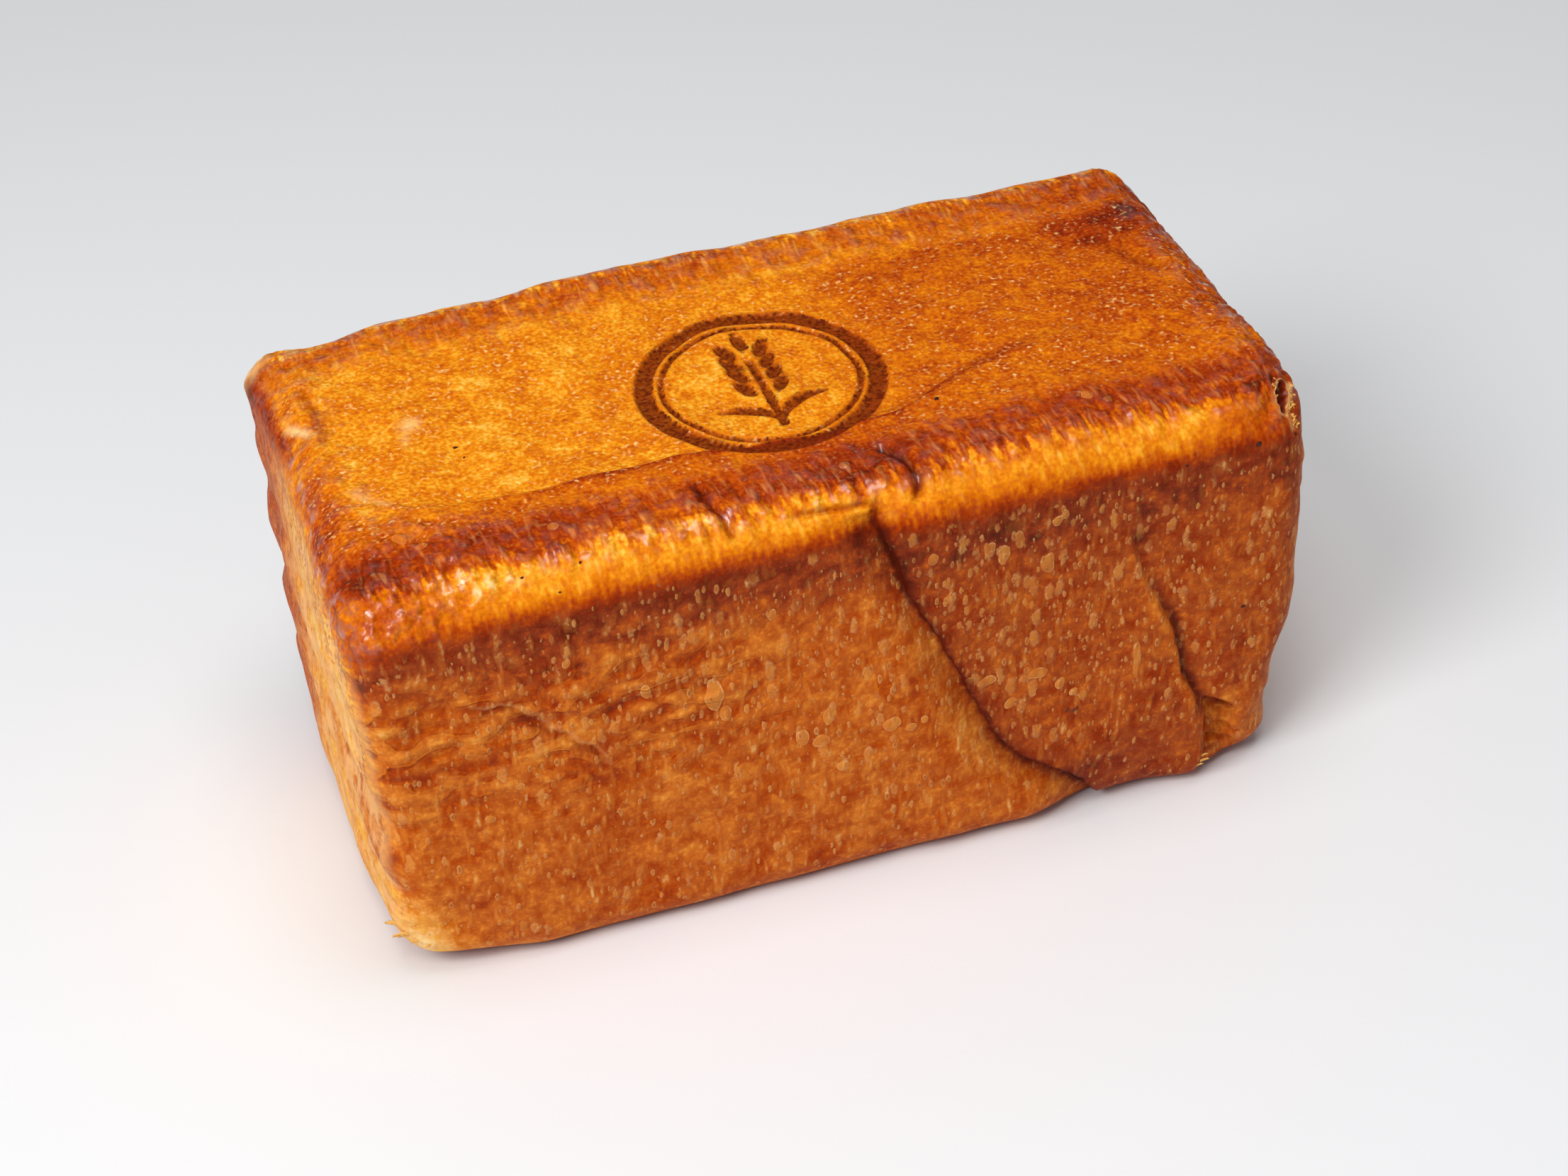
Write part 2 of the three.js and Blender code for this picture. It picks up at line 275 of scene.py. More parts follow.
def roundedBlock(x, y, z):  # from the sharp box to the rounded block, with the way that it faces
    f, height = loafForm, loafForm["height"]
    halves = np.array([[f["length"] / 2], [f["width"] / 2], [height / 2]])
    upright = blend(f["roundUpright"], f["roundTop"], fade(z, height - f["roundBelow"], height))
    reach = np.array([upright, upright, np.where(z > height / 2, f["roundTop"], f["roundBase"])])
    middle = np.array([x, y, z - height / 2])
    share = np.maximum(0, np.abs(middle) - halves + reach) / reach
    turn = 1 / np.linalg.norm(share, axis=0)
    px, py, pz = middle - np.sign(middle) * reach * share * (1 - turn)
    pz, facing = pz + height / 2, share * turn * np.sign(middle)
    down = 1 - pz / height
    s = SimpleNamespace(x=px * (1 - 2 * f["leanX"] / f["length"] * down),
                        y=py * (1 - 2 * f["leanY"] / f["width"] * down), z=pz, facing=facing)
    s.front, s.back = fade(-facing[1], 0.25, 0.85), fade(facing[1], 0.25, 0.85)
    s.left, s.right = fade(-facing[0], 0.3, 0.9), fade(facing[0], 0.3, 0.9)
    s.top, s.base = fade(facing[2], 0.3, 0.95), fade(-facing[2], 0.55, 0.98)
    s.offEnds = (1 - s.left) * (1 - s.right)
    s.v = s.z + s.y + f["width"] / 2  # runs up the creased side and on over its shoulder
    return s


def lapRelief(across):  # how far the crust stands out, from the crease into the flap
    c = creaseForm
    under = -c["depth"] * (1 - fade(-across, 0, c["under"])) ** 1.6
    lip, flap = fade(across, 0, c["lip"]), fade(across, c["lip"], c["flap"])
    return np.where(across < 0, under, (c["depth"] + c["crown"]) * lip - c["depth"] - c["crown"] * flap)


def measureCreases(s):
    c, t = creaseForm, tuckForm
    longLine, shortLine = smoothLine(c["longLine"]), smoothLine(c["shortLine"])

    def across(line):
        return (s.x - line(s.z)) / np.hypot(1, (line(s.z + 1) - line(s.z - 1)) / 2)
    s.longAcross = across(longLine) - c["underShift"] * fade(s.z, 8, 24) + 0.5 * s.wobble
    s.shortAcross = across(shortLine) + 0.5 * c["underShift"] + 0.6 * s.wobble
    s.longFold, s.shortFold = (s.front * smoothLine(c[k])(s.z) for k in ("longFold", "shortFold"))
    beside = fade(s.x - shortLine(s.z), 0, t["edge"]) * fade(s.x, t["farX"] + t["edge"], t["farX"] - t["edge"])
    s.underRoof = t["roofZ"] - t["roofSlope"] * (s.x - t["roofX"]) - s.z
    s.tuck = s.front * beside * fade(s.underRoof, 0, t["edge"]) * fade(s.z, -8, 14)


def measureFolds(s):
    planes = {"xy": (s.y, fade(s.facing[2], 0.1, 0.3)), "xz": (s.z, s.front),
              "xv": (s.v, fade(-s.facing[1], 0.05, 0.3))}
    s.folds = {}
    for name, (plane, depth, half, lip, waver, shade, path) in foldForm.items():
        second, shown = planes[plane]
        gap, share = besidePath(s.x, second, path)
        s.folds[name] = gap + waver * s.wobble, fade(share, 0, 0.12) * fade(share, 1, 0.86) * shown


def measureTear(s):
    t = tearForm
    (hole, holeShare), (split, splitShare), (s.stripGap, stripShare) = (
        pathGap((s.x, s.y, s.z), t[path])[:2] for path in ("hole", "split", "flakyStrip"))
    ragged = 1 + 0.2 * np.sin(1.7 * s.z + 1.1 * s.y) * np.cos(1.3 * s.x - s.y)
    s.holeEdge = hole - t["halfHole"] * ragged * (0.55 + 0.9 * bump(holeShare, 0.5, 0.8))
    s.splitEdge = split - t["halfSplit"] * ragged * (1 - 0.6 * splitShare)


def measureMark(s):  # distance outside the burnt lines of the mark, negative inside them
    m = markForm
    a, b = s.x - m["centre"][0], s.y - m["centre"][1]
    r = np.hypot(a, b)
    wide, tall = m["grain"]

    def grain(a, b):  # rough distance outside one grain
        return (np.hypot(a / (wide / 2), b / (tall / 2)) - 1) * min(wide, tall) / 2
    edges = [abs(r - m["ring"]) - m["ringHalf"], abs(r - m["innerRing"]) - m["innerHalf"],
             np.maximum(abs(a) - m["stalk"], abs(b - m["stalkMiddle"]) - m["stalkHalf"]), grain(a, b - m["topGrain"])]
    for side in (-1, 1):
        sine, cosine = math.sin(math.radians(m["grainLean"]) * side), math.cos(math.radians(m["grainLean"]))
        for i in range(m["pairs"]):
            ca, cb = a - side * 4.6, b - (-1.5 + 5.4 * i)
            edges.append(grain(ca * cosine - cb * sine, ca * sine + cb * cosine))
        gap, share = besidePath(a, b, [(side * u, w) for u, w in m["leaf"]])
        edges.append(abs(gap) - m["leafHalf"] * bump(share, 0.5, 0.62))
    s.mark = np.where(s.facing[2] > 0.95, np.min(edges, axis=0), 20)


def measureBlisters(s):
    s.blister = np.full(s.x.shape, -1.0)  # 0 at a blister's edge, 1 at its middle
    ragged = 0.1 * np.sin(1.3 * s.x + 0.9 * s.z) + 0.14 * s.wobble
    spots = [(*row, s.z, s.front > 0.5) for row in blisterForm]
    spots += [(x, y, r, r, s.y, s.facing[2] > 0.3) for x, y, r in topBlisterForm]
    for a, b, wide, high, way, seen in spots:
        near = (abs(s.x - a) < 2 * wide) & (abs(way - b) < 2 * high) & seen
        inside = 1 - np.hypot((s.x - a) / wide, (way - b) / high) + ragged
        s.blister = np.where(near, np.maximum(s.blister, inside), s.blister)


def measure(x, y, z):
    s = roundedBlock(x, y, z)
    everywhere = np.full(len(x), True)
    s.wobble = roughness(s, 3.4, 6.6, everywhere) + 0.5 * roughness(s, 1.5, 2.2, everywhere)
    s.lidGap = s.y - smoothLine(lidForm["line"])(s.x) - 0.8 * roughness(s, 7, 4.2, s.top > 0.5)
    for part in (measureCreases, measureFolds, measureTear, measureMark, measureBlisters):
        part(s)
    return s


def wantedStep(side, s, usual):  # grid steps: finer where the crust is creased, burnt or torn
    x, y, v, (faceX, faceY, faceZ), onTop = s.x, s.y, s.v, s.facing, side == "top"
    step = np.full(x.shape, usual)
    step[within(v, 100, 150) & (y < 0) & (faceY < 0.1)] = 2
    step[onTop & (np.hypot(x + 3, y + 5) < 34)] = 2
    step[(s.top < 0.95) & (faceZ > 0.2)] = np.minimum(2, usual)
    fine = (s.longFold > 0.05) & within(s.longAcross, -2.5, 4)
    fine |= (s.shortFold > 0.05) & within(s.shortAcross, -4, 2)
    fine |= within(s.tuck, 0.05, 0.9) & (s.front > 0.5)
    for name in ("shoulderFold", "crescentFold", "creaseTurn", "sideWrinkle"):
        gap, ends = s.folds[name]
        fine |= (ends > 0.05) & (abs(gap) < 2.2)
    fine |= (abs(s.mark) < 1) & onTop
    fine |= within(v, 121, 138) & (faceZ > 0.05) & (faceY < 0) & (x > -119)
    fine |= within(v, 108, 141) & (y < -40) & (x < -88) & (faceX < 0.5)
    fine |= (s.blister > -0.3) | (s.holeEdge < 2.2) | (s.splitEdge < 1.5)
    fine |= (abs(s.lidGap) < 1.6) & onTop & within(x, -105, 60)
    step[fine] = 1
    return step


def reliefOf(s):  # how far the crust stands out of the rounded block
    f, x, y, z, v = loafForm, s.x, s.y, s.z, s.v
    offBase = 1 - s.base
    out = offBase * sum(high * rollingWaves(*waves)(s) for high, *waves in unevenForm["waves"])
    out += s.left * smoothLine(f["puckers"])(z + 0.04 * (60 - y))
    out -= f["sag"] * s.top * (1 - (2 * x / f["length"]) ** 2) * (1 - (2 * y / f["width"]) ** 2)
    out += s.top * smoothLine(lidForm["step"])(x) * fade(s.lidGap, 1.1, -1.1) * fade(y, -62, -45)
    out += s.longFold * lapRelief(s.longAcross) + s.shortFold * lapRelief(-s.shortAcross) - tuckForm["depth"] * s.tuck
    for name, (gap, ends) in s.folds.items():
        plane, depth, half, lip, waver, shade, path = foldForm[name]
        out += ends * (lip * (fade(gap, 0, 1.4) - 0.35) * fade(abs(gap), 9, 2) - depth * bump(gap, 0, 1.6 * half))

    # wrinkles inside the tucked corner
    crumple = roughness(s, 4, 9, s.tuck > 0.01)
    out += s.tuck * (np.sin(0.9 * x + 1.1 * z + 1.8 * crumple) + 0.9 * roughness(s, (3, 3, 5), 2, s.tuck > 0.01))

    # lumps where the dough met the tin's upper edges, and pleats that run over the shoulder
    nearEdge = np.maximum(fade(x, -100, -110), fade(x, 101, 111)) * fade(z, 106, 112) * (1 - s.left)
    nearCorner = fade(x, -70, -100) * fade(v, 104, 114) * fade(y, -24, -36)
    frontRoll = bump(v, 131, 15) * fade(z, 100, 108) * s.offEnds
    lumps = np.clip(nearEdge + nearCorner + 0.8 * frontRoll, 0, 1)
    out += lumps * (sum(high * grains(s, size, seed, lumps > 0.02) for high, size, seed in unevenForm["grains"]) - 0.45)
    shown = {
        "lumps": lumps, "pleats": bump(v, 125, 17) * fade(v, 107, 114) * s.offEnds * (1 - s.back),
        "top": s.top, "sides": np.clip(s.front + s.back, 0, 1) * offBase,
        "ripple": s.front * bump(z, 76, 30) * fade(x, -5, -50), "ends": np.clip(s.left + s.right, 0, 1) * offBase,
    }
    for name, share in shown.items():
        for high, size, seed in unevenForm[name]:
            out += share * high * roughness(s, size, seed, share > 0.02)

    out += 0.24 * fade(s.blister, 0, 0.5) * np.where(s.top > 0.5, 2, 1)
    out -= markForm["press"] * s.top * fade(s.mark, 0.4, -0.5) - 0.18 * s.top * bump(s.mark, 0.9, 1.1)
    out -= tearForm["depth"] * fade(s.holeEdge, 0.3, -1) + 1.2 * fade(s.splitEdge, 0.3, -0.6)
    torn = 0.35 + 0.65 * s.wobble
    return out + 0.4 * torn * bump(s.holeEdge, 0.7, 0.7) + 0.3 * torn * bump(s.splitEdge, 0.6, 0.6)


def crustPoints(s):
    at = np.array([s.x, s.y, s.z])
    p = at + s.facing * reliefOf(s)
    hang, past, back = creaseForm["overhang"], s.longAcross, -s.shortAcross
    p[0] -= hang * s.longFold * fade(past, 0, 2.4) * fade(past, 16, 2.4)
    p[0] += 0.6 * hang * s.shortFold * fade(back, 0, 2.2) * fade(back, 14, 2.2)
    for start, by, reach in pullForm:
        near = np.maximum(0, 1 - (np.linalg.norm(at - np.array(start)[:, None], axis=0) / reach) ** 2)
        p += np.array(by)[:, None] * near * near
    p[2] = np.maximum(0, p[2])
    return p


gridForm = {
    "counts": (480, 256, 240), "block": 8,  # half-millimetre steps along x, y and z, and the coarsest square
    # of each side: the way it faces, whether it is the far one, the two ways that it runs, and its usual step
    "sides": {"front": (1, 0, 0, 2, 2), "back": (1, 1, 2, 0, 4), "top": (2, 1, 0, 1, 4), "base": (2, 0, 1, 0, 8),
              "left": (0, 0, 2, 1, 4), "right": (0, 1, 1, 2, 4)},
}


def gridSquares():  # squares of every side, each with its lower corner, its size and the two ways that it runs
    counts = gridForm["counts"]
    box = np.array([loafForm["length"], loafForm["width"], loafForm["height"]])

    def sharp(places):  # from grid steps to millimetres on the sharp box
        return ((places / np.array(counts) - np.array([0.5, 0.5, 0])) * box).T
    squares = []
    for name, (fixed, far, u, w, usual) in gridForm["sides"].items():
        size = gridForm["block"]
        i, j = np.meshgrid(np.arange(0, counts[u], size), np.arange(0, counts[w], size), indexing="ij")
        low = np.zeros((i.size, 3), int)
        low[:, fixed], low[:, u], low[:, w] = far * counts[fixed], i.ravel(), j.ravel()
        while len(low):
            middle = low.astype(float)
            middle[:, [u, w]] += size / 2
            wanted = wantedStep(name, measure(*sharp(middle)), usual)
            split = (wanted < size) & (size > 1) | (size > usual)
            squares.append((low[~split], size, u, w))
            half = size // 2
            quarters = [low[split] for _ in range(4)]
            for part, (du, dw) in zip(quarters, ((0, 0), (half, 0), (0, half), (half, half))):
                part[:, u] += du
                part[:, w] += dw
            low, size = np.vstack(quarters) if half else low[:0], max(half, 1)
    return squares, sharp


def gridMesh():  # places on the sharp box, and faces that also take in their neighbours' corners
    squares, sharp = gridSquares()

    def ringKeys(low, size, u, w):  # one number for each grid step round a square, counter-clockwise
        t, none = np.arange(size), np.zeros(size, int)
        places = np.repeat(low[:, None, :], 4 * size, 1)
        places[:, :, u] += np.concatenate([t, none + size, size - t, none])
        places[:, :, w] += np.concatenate([none, t, none + size, size - t])
        return (places * np.array([1000 * 1000, 1000, 1])).sum(-1)
    rings = [(ringKeys(low, size, u, w), size) for low, size, u, w in squares if len(low)]
    corners = np.unique(np.concatenate([keys[:, ::size].ravel() for keys, size in rings]))
    faces = []
    for keys, size in rings:
        at = np.minimum(np.searchsorted(corners, keys), len(corners) - 1)
        for row, kept in zip(at.tolist(), (corners[at] == keys).tolist()):
            faces.append([index for index, keep in zip(row, kept) if keep])
    places = np.stack([corners // 1000000, corners // 1000 % 1000, corners % 1000], -1)
    return sharp(places.astype(float)), faces


bakeForm = {
    # how dark the crust is, from 0, pale, to 1, burnt, up the creased side and over its shoulder: [v, dark]
    "alongEdge": [[0, 0.58], [8, 0.55], [30, 0.53], [60, 0.51], [84, 0.53], [92, 0.62], [98, 0.72], [103, 0.77],
                  [107, 0.7], [110, 0.52], [113, 0.37], [116, 0.3], [121, 0.29], [125, 0.42], [128, 0.56],
                  [131, 0.63], [136, 0.655], [140, 0.58], [144, 0.48], [150, 0.46], [156, 0.43], [168, 0.41]],
    "top": 0.315, "left": 0.25, "right": 0.4, "base": 0.62,
    "rubbedLines": [[(-115.3, 22.6), (-112.5, 18), (-109.9, 13.3)], [(-106, -14.5), (-103, -18.5), (-99.5, -22.5)]],
}


def bakeOf(s, vBack, vLeft, vRight):  # how dark each side is, what the long edges add, and where they do
    b, x, y, z, v, front = bakeForm, s.x, s.y, s.z, s.v, s.front
    # the flat top: darker to the right, and where it turns down at the ends
    top = b["top"] + 0.12 * fade(x, -5, 45) + 0.04 * fade(x, 70, 100) + 0.05 * fade(y, 30, 60) * fade(x, 60, -90)
    top += 0.16 * bump(x, 103, 24) * bump(y, 36, 28) + 0.06 * fade(y, 26, 44) + 0.04 * fade(x, 20, 45)
    top += (0.07 * fade(x, 92, 110) + 0.1 * fade(x, 96, 110)) * fade(y, 24, 40)
    top += 0.06 * bump(x, 40, 26) * bump(y, 40, 22) + 0.03 * fade(x, 10, 40) * fade(y, 10, 30)
    turned = fade(x, -105, -113) * (0.35 + 0.65 * fade(y, 4, -20)), fade(x, 104, 114)
    for share in turned:
        top = np.maximum(top, blend(top, 0.54, share))
    # the ends are paler, but brown along their edges
    left = b["left"] + 0.28 * fade(vLeft, 102, 114) + 0.3 * fade(y, 4, 40) - 0.07 * bump(z, 78, 36) * fade(y, -16, -40)
    left += 0.19 * fade(y, -52, -58) * fade(z, 20, 60) * (1 - 0.8 * fade(z, 82, 96)) + 0.04 * bump(z, 56, 30)
    left += 0.22 * bump(z, 40, 20) * fade(y, 0, -40) + 0.1 * fade(y, 40, 60)
    right = b["right"] + 0.2 * fade(vRight, 100, 112) + 0.16 * fade(abs(y), 46, 60)
    onLeft, onRight = fade(-s.facing[0], 0.62, 0.98), fade(s.facing[0], 0.5, 0.95)
    bake = blend(blend(blend(top, left, onLeft), right, onRight), b["base"], s.base)
    frontShare = 1 - blend(fade(s.lidGap, -1.3, 1.3), fade(v, 142, 158), fade(abs(x - 5), 45, 95))
    share = np.maximum(frontShare, np.where(y > 0, fade(vBack, 150, 138), 0))

    # the shoulder is darker at its corners and over the flap, and paler by the left third
    shift = bump(v, 118, 14) * (0.13 * fade(x, 86, 104) + 0.15 * fade(x, -84, -100) - 0.01 * bump(x, -66, 24))
    shift += 0.1 * bump(v, 124, 9) * fade(x, 90, 104) + 0.16 * bump(v, 122, 20) * fade(x, -98, -112) * s.top
    shift += bump(v, 127, 9) * (0.18 * bump(x, 13, 18) + 0.06 * fade(x, 30, 60) - 0.05 * bump(x, -40, 26))
    shift += bump(v, 138, 10) * (0.03 - 0.06 * bump(x, 46, 26) - 0.04 * bump(x, -35, 45))
    shift += 0.05 * bump(v, 123, 5) * bump(x, -40, 46) + 0.1 * bump(v, 145, 9) * bump(x, 2, 26)
    shift += 0.05 * bump(v, 111, 6) * bump(x, 15, 16) + 0.04 * bump(v, 150, 5) * fade(x, -20, -50)
    shift += 0.03 * bump(v, 117, 7) + 0.08 * bump(v, 113, 7) * fade(x, 84, 102)
    backEdge = 0.12 * bump(vBack, 116, 14) - 0.19 * bump(vBack, 136, 20) - 0.06 * fade(vBack, 128, 150)
    shift += np.where(y > 0, backEdge + fade(x, 60, 96) * 0.14 * bump(vBack, 138, 22), 0)
    # the creased side
    onSide = 0.11 * fade(s.longAcross, 0, 5) * fade(v, 104, 96) - 0.16 * bump(z, 0, 9) * fade(x, -45, -90)
    onSide -= bump(z, 95, 12) * (0.08 * fade(x, 0, 30) + 0.05 * fade(x, 70, 90) + 0.05 * fade(x, -94, -104))
    onSide += 0.05 * bump(z, 58, 24) * fade(x, -88, -104) - 0.07 * bump(z, 100, 14) * fade(x, -84, -100)
    onSide += 0.03 * bump(z, 72, 24) * fade(x, 14, -10) * fade(x, -96, -80) - 0.04 * bump(z, 100, 14) * bump(x, 0, 30)
    onSide -= 0.04 * fade(x, -96, -114) * fade(z, 100, 80) + 0.1 * fade(x, 92, 100) * fade(z, 34, 24)
    shift += front * onSide - 0.2 * s.shortFold * bump(s.shortAcross, -2.6, 3)
    shift -= 0.07 * s.longFold * bump(s.longAcross, -5, 7) * fade(z, 80, 40)
    # painted shade along the near side of the step that the lid's edge pressed into the top, and a painted highlight
    # along its far side
    pressed = 0.2 * bump(s.lidGap, -0.9, 1.5) - 0.09 * bump(s.lidGap, 1, 1.5)
    shift += fade(abs(x - 5), 108, 60) * s.top * pressed - 0.4 * fade(s.nearFoot, 0.1, 0.8) - 0.08 * s.tuck
    return bake, share * (1 - onLeft) * (1 - onRight) * (1 - s.base), shift


def paleOf(s):  # pale crust: the strip down the near upright edge, partly a painted highlight on that edge, and its lower corner, rubbed spots, the lips of the tear; also a painted highlight on the side wrinkle's lip
    x, y, z = s.x, s.y, s.z
    strip = bump(x, -117.8, 1.8) * fade(z, 10, 50) * fade(z, 104, 80) * fade(y, -52, -60)
    rubbed = (spot((x, -87, 3.2), (y, 8.5, 3.8)) + 0.7 * spot((x, -89, 1.4), (y, 3, 4))) * s.top
    upper, lower = (besidePath(x, y, line)[0] for line in bakeForm["rubbedLines"])
    rubbed += 0.9 * bump(upper, 0, 1.8) * fade(z, 108, 112) + 0.4 * bump(lower, 0, 2) * s.top
    gap, ends = s.folds["sideWrinkle"]
    torn = 0.6 * bump(s.holeEdge, 0.6, 0.4) + 0.9 * bump(s.stripGap, 0, 1.5) * fade(s.holeEdge, 0, 0.4)
    farTip = spot((x, -119, 9), (y, 60, 10), (z, 112, 11))
    # painted highlight on the side wrinkle's raised lip
    wrinkled = 0.2 * ends * bump(gap, 1.1, 0.9)
    return np.clip(0.5 * strip + 0.5 * fade(s.nearFoot, 0.3, 0.9) + 1.6 * farTip + rubbed + wrinkled + torn, 0, 1)


def shadeOf(s):  # shade in the creases and folds
    x, z, past = s.x, s.z, s.longAcross - 0.9
    before = blend(blend(2.6, 0.9, fade(z, 20, 40)), 1.7, fade(z, 78, 96))
    shade = 1.6 * s.longFold * bell(past, np.where(past < 0, before, blend(1.4, 1.9, fade(z, 20, 45))))
    shade += 0.2 * s.longFold * bell(s.longAcross, 6)
    shade += (1.1 - 0.7 * fade(z, 58, 74)) * s.shortFold * bell(s.shortAcross, np.where(s.shortAcross > 0, 1.5, 0.8))
    shade += 0.5 * s.front * bell(np.hypot((x - 73.5) / 3.6, (z - 86.5) / 2.4), 1)
    shade += 0.6 * s.tuck * bump(s.underRoof, 2, 4) + 0.1 * s.tuck
    shade += 0.6 * s.front * bump(x, 2, 6) * bump(s.v, 107, 6) * fade(s.longAcross, 1, -1)
    for name, (gap, ends) in s.folds.items():
        plane, depth, half, lip, waver, strength, path = foldForm[name]
        shade += strength * ends * bell(gap + 0.6 * np.sign(lip), 1.3)
    shade += 1.3 * fade(s.holeEdge, 0.5, -0.4) + 0.6 * fade(s.splitEdge, 0.2, -0.4)
    return np.clip(shade, 0, 1)


def tonesOf(s):  # what the crust's material needs to know at every point
    x, y, z, v, front = s.x, s.y, s.z, s.v, s.front
    halfLength = loafForm["length"] / 2
    vBack, vLeft, vRight = z + loafForm["width"] / 2 - y, z + x + halfLength, z + halfLength - x
    s.nearFoot = spot((x, -119, 24), (y, -62, 26), (z, 2, 38))
    tones = {}
    tones["bake"], tones["alongEdge"], tones["shift"] = bakeOf(s, vBack, vLeft, vRight)
    tones["runUp"] = np.where(y > 0, vBack, v)
    tones["pale"], tones["shade"] = paleOf(s), shadeOf(s)
    near = np.minimum(v, vBack)
    tones["side"] = np.maximum(np.clip(front + s.back, 0, 1) * fade(near, 109, 103),
                               0.7 * s.right * fade(vRight, 109, 103))
    nearEdges = 1 - 0.85 * fade(y, -52, -58) * fade(z, 10, 50) - 0.8 * fade(y, 4, 40)
    ends = fade(-s.facing[0], 0.6, 0.96) * nearEdges + 0.35 * fade(s.facing[0], 0.5, 0.9)
    tones["ends"] = np.clip(ends, 0, 1) * fade(np.minimum(vLeft, vRight), 114, 100)
    tones["lid"] = s.top * fade(near, 134, 150)
    tones["shoulder"] = bump(near, 124, 24) * fade(near, 102, 108) * s.offEnds
    corners = fade(x, -70, -104) * fade(v, 104, 116) * fade(y, -20, -38) * fade(z, 99, 108)
    edges = np.maximum(fade(x, -98, -110), fade(x, 98, 110)) * fade(z, 104, 112)
    roll = (1 - 0.35 * fade(x, 15, 60) * fade(y, 20, 0)) * bump(near, 131, 19) * fade(near, 108, 120) * s.offEnds
    tones["gloss"] = np.clip(roll + corners + 0.8 * edges + 0.2 * s.top, 0, 1)
    tones["mark"], tones["blister"] = np.clip(s.mark, -20, 20), s.blister
    clusters = 0.38 + 0.12 * fade(x, 24, 44) * bump(z, 60, 44) + 0.15 * bump(np.hypot(x + 2, z - 50), 0, 40)
    clusters += 0.42 * bump(z, 80, 36) * fade(z, 106, 98) * bump(x, 5, 92)
    clusters += 0.26 * fade(s.longAcross, 0, 4) * fade(z, 18, 34)
    clusters += 0.2 * bump(x, -85, 30) * bump(z, 78, 26) - 0.12 * bump(x, 95, 26) * fade(z, 80, 60)
    tones["clusters"] = np.clip(clusters, 0, 1)
    # painted sheen: a band across the upper part of the creased side and a faint wash over all of it; on the left end,
    # a purplish-grey tint along its near and upper edges
    scuffed = s.left * np.maximum(bump(y, -54, 9) * fade(z, 34, 60), bump(z, 101, 12) * fade(y, 40, 10))
    tones["haze"] = front * bump(v, 97, 10) * (0.4 + 0.6 * fade(x, -50, 0)) + 0.06 * front + scuffed
    tones["rippled"] = front * bump(z, 74, 34) * fade(x, 0, -50) + 0.2 * front + 0.8 * s.left
    return tones


def buildLoaf():
    sharp, faces = gridMesh()
    s = measure(*sharp)
    piece = newMesh("loafCrust", crustPoints(s).T, faces)
    for name, values in tonesOf(s).items():
        piece.data.attributes.new(name, "FLOAT", "POINT").data.foreach_set("value", values.astype(np.float32))
    print("loaf mesh:", len(piece.data.vertices), "points,", sum(len(face) - 2 for face in faces), "triangles")
    return piece


loafPiece = buildLoaf()
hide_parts("loaf")
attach(loafPiece, "root")


def colour(red, green, blue):  # from screen values, 0 to 255
    shares = (c / 255 for c in (red, green, blue))
    return (*(c / 12.92 if c <= 0.04045 else ((c + 0.055) / 1.055) ** 2.4 for c in shares), 1)


def fillInputs(tree, node, inputs):
    for name, value in inputs.items():
        if isinstance(value, bpy.types.NodeSocket):
            tree.links.new(value, node.inputs[name])
        else:
            node.inputs[name].default_value = value


def nodeWords(tree):  # short words for the nodes of one tree
    def add(kind, inputs=None, **settings):
        made = tree.nodes.new("ShaderNode" + kind)
        for name, value in settings.items():
            setattr(made, name, value)
        fillInputs(tree, made, inputs or {})
        return made

    def calc(operation, *values, clamp=False):
        return add("Math", dict(enumerate(values)), operation=operation, use_clamp=clamp).outputs[0]

    def calcPlace(operation, *values):
        inputs = {("Scale" if operation == "SCALE" and i == 1 else i): value for i, value in enumerate(values)}
        return add("VectorMath", inputs, operation=operation).outputs[0]

    def ramp(value, low, high, newLow=0, newHigh=1, shape="SMOOTHSTEP"):
        return add("MapRange", {"Value": value, "From Min": low, "From Max": high, "To Min": newLow, "To Max": newHigh},
                   interpolation_type=shape).outputs[0]

    def colourRamp(value, steps):
        made = add("ValToRGB", {"Fac": value})
        stops = made.color_ramp.elements
        stops[0].position, stops[1].position = steps[0][0], steps[-1][0]
        for at, shown in steps[1:-1]:
            stops.new(at)
        for stop, (at, shown) in zip(stops, steps):
            stop.color = colour(*shown)
        return made.outputs[0]

    return SimpleNamespace(
        add=add, calc=calc, calcPlace=calcPlace, ramp=ramp, colourRamp=colourRamp,
        times=lambda a, b: calc("MULTIPLY", a, b), plus=lambda a, b, more: calc("MULTIPLY_ADD", a, b, more),
        over=lambda a, b: calc("DIVIDE", a, b), less=lambda a, b: calc("SUBTRACT", a, b),
        most=lambda a, b: calc("MAXIMUM", a, b), without=lambda a: calc("SUBTRACT", 1, a),
        tinted=lambda share, a, b: add("Mix", {0: share, 6: a, 7: b}, data_type="RGBA").outputs[2],
        group=lambda made, **inputs: add("Group", inputs, node_tree=made).outputs,
        millimetres=lambda: calcPlace("SCALE", add("TexCoord").outputs["Object"], 1 / metre),
        bump=lambda height: add("Bump", {"Height": height, "Distance": metre, "Strength": 1}).outputs[0])


def newGroup(name, inputs, build):  # inputs are defaults, or kinds of socket; build gives back what the group puts out
    group = bpy.data.node_groups.new(name, "ShaderNodeTree")
    for socket, value in inputs.items():
        kind = value if isinstance(value, str) else "Float"
        made = group.interface.new_socket(socket, in_out="INPUT", socket_type="NodeSocket" + kind)
        if kind == "Float":
            made.default_value = value
    results = build(nodeWords(group), group.nodes.new("NodeGroupInput").outputs)
    for socket, value in results.items():
        group.interface.new_socket(socket, in_out="OUTPUT", socket_type=value.bl_idname)
    fillInputs(group, group.nodes.new("NodeGroupOutput"), results)
    return group


def newMaterial(name, build):  # build gives back the inputs of the shader
    material = bpy.data.materials.new(name)
    material.use_nodes = True
    tree = material.node_tree
    fillInputs(tree, tree.nodes["Principled BSDF"], build(nodeWords(tree)))
    return material


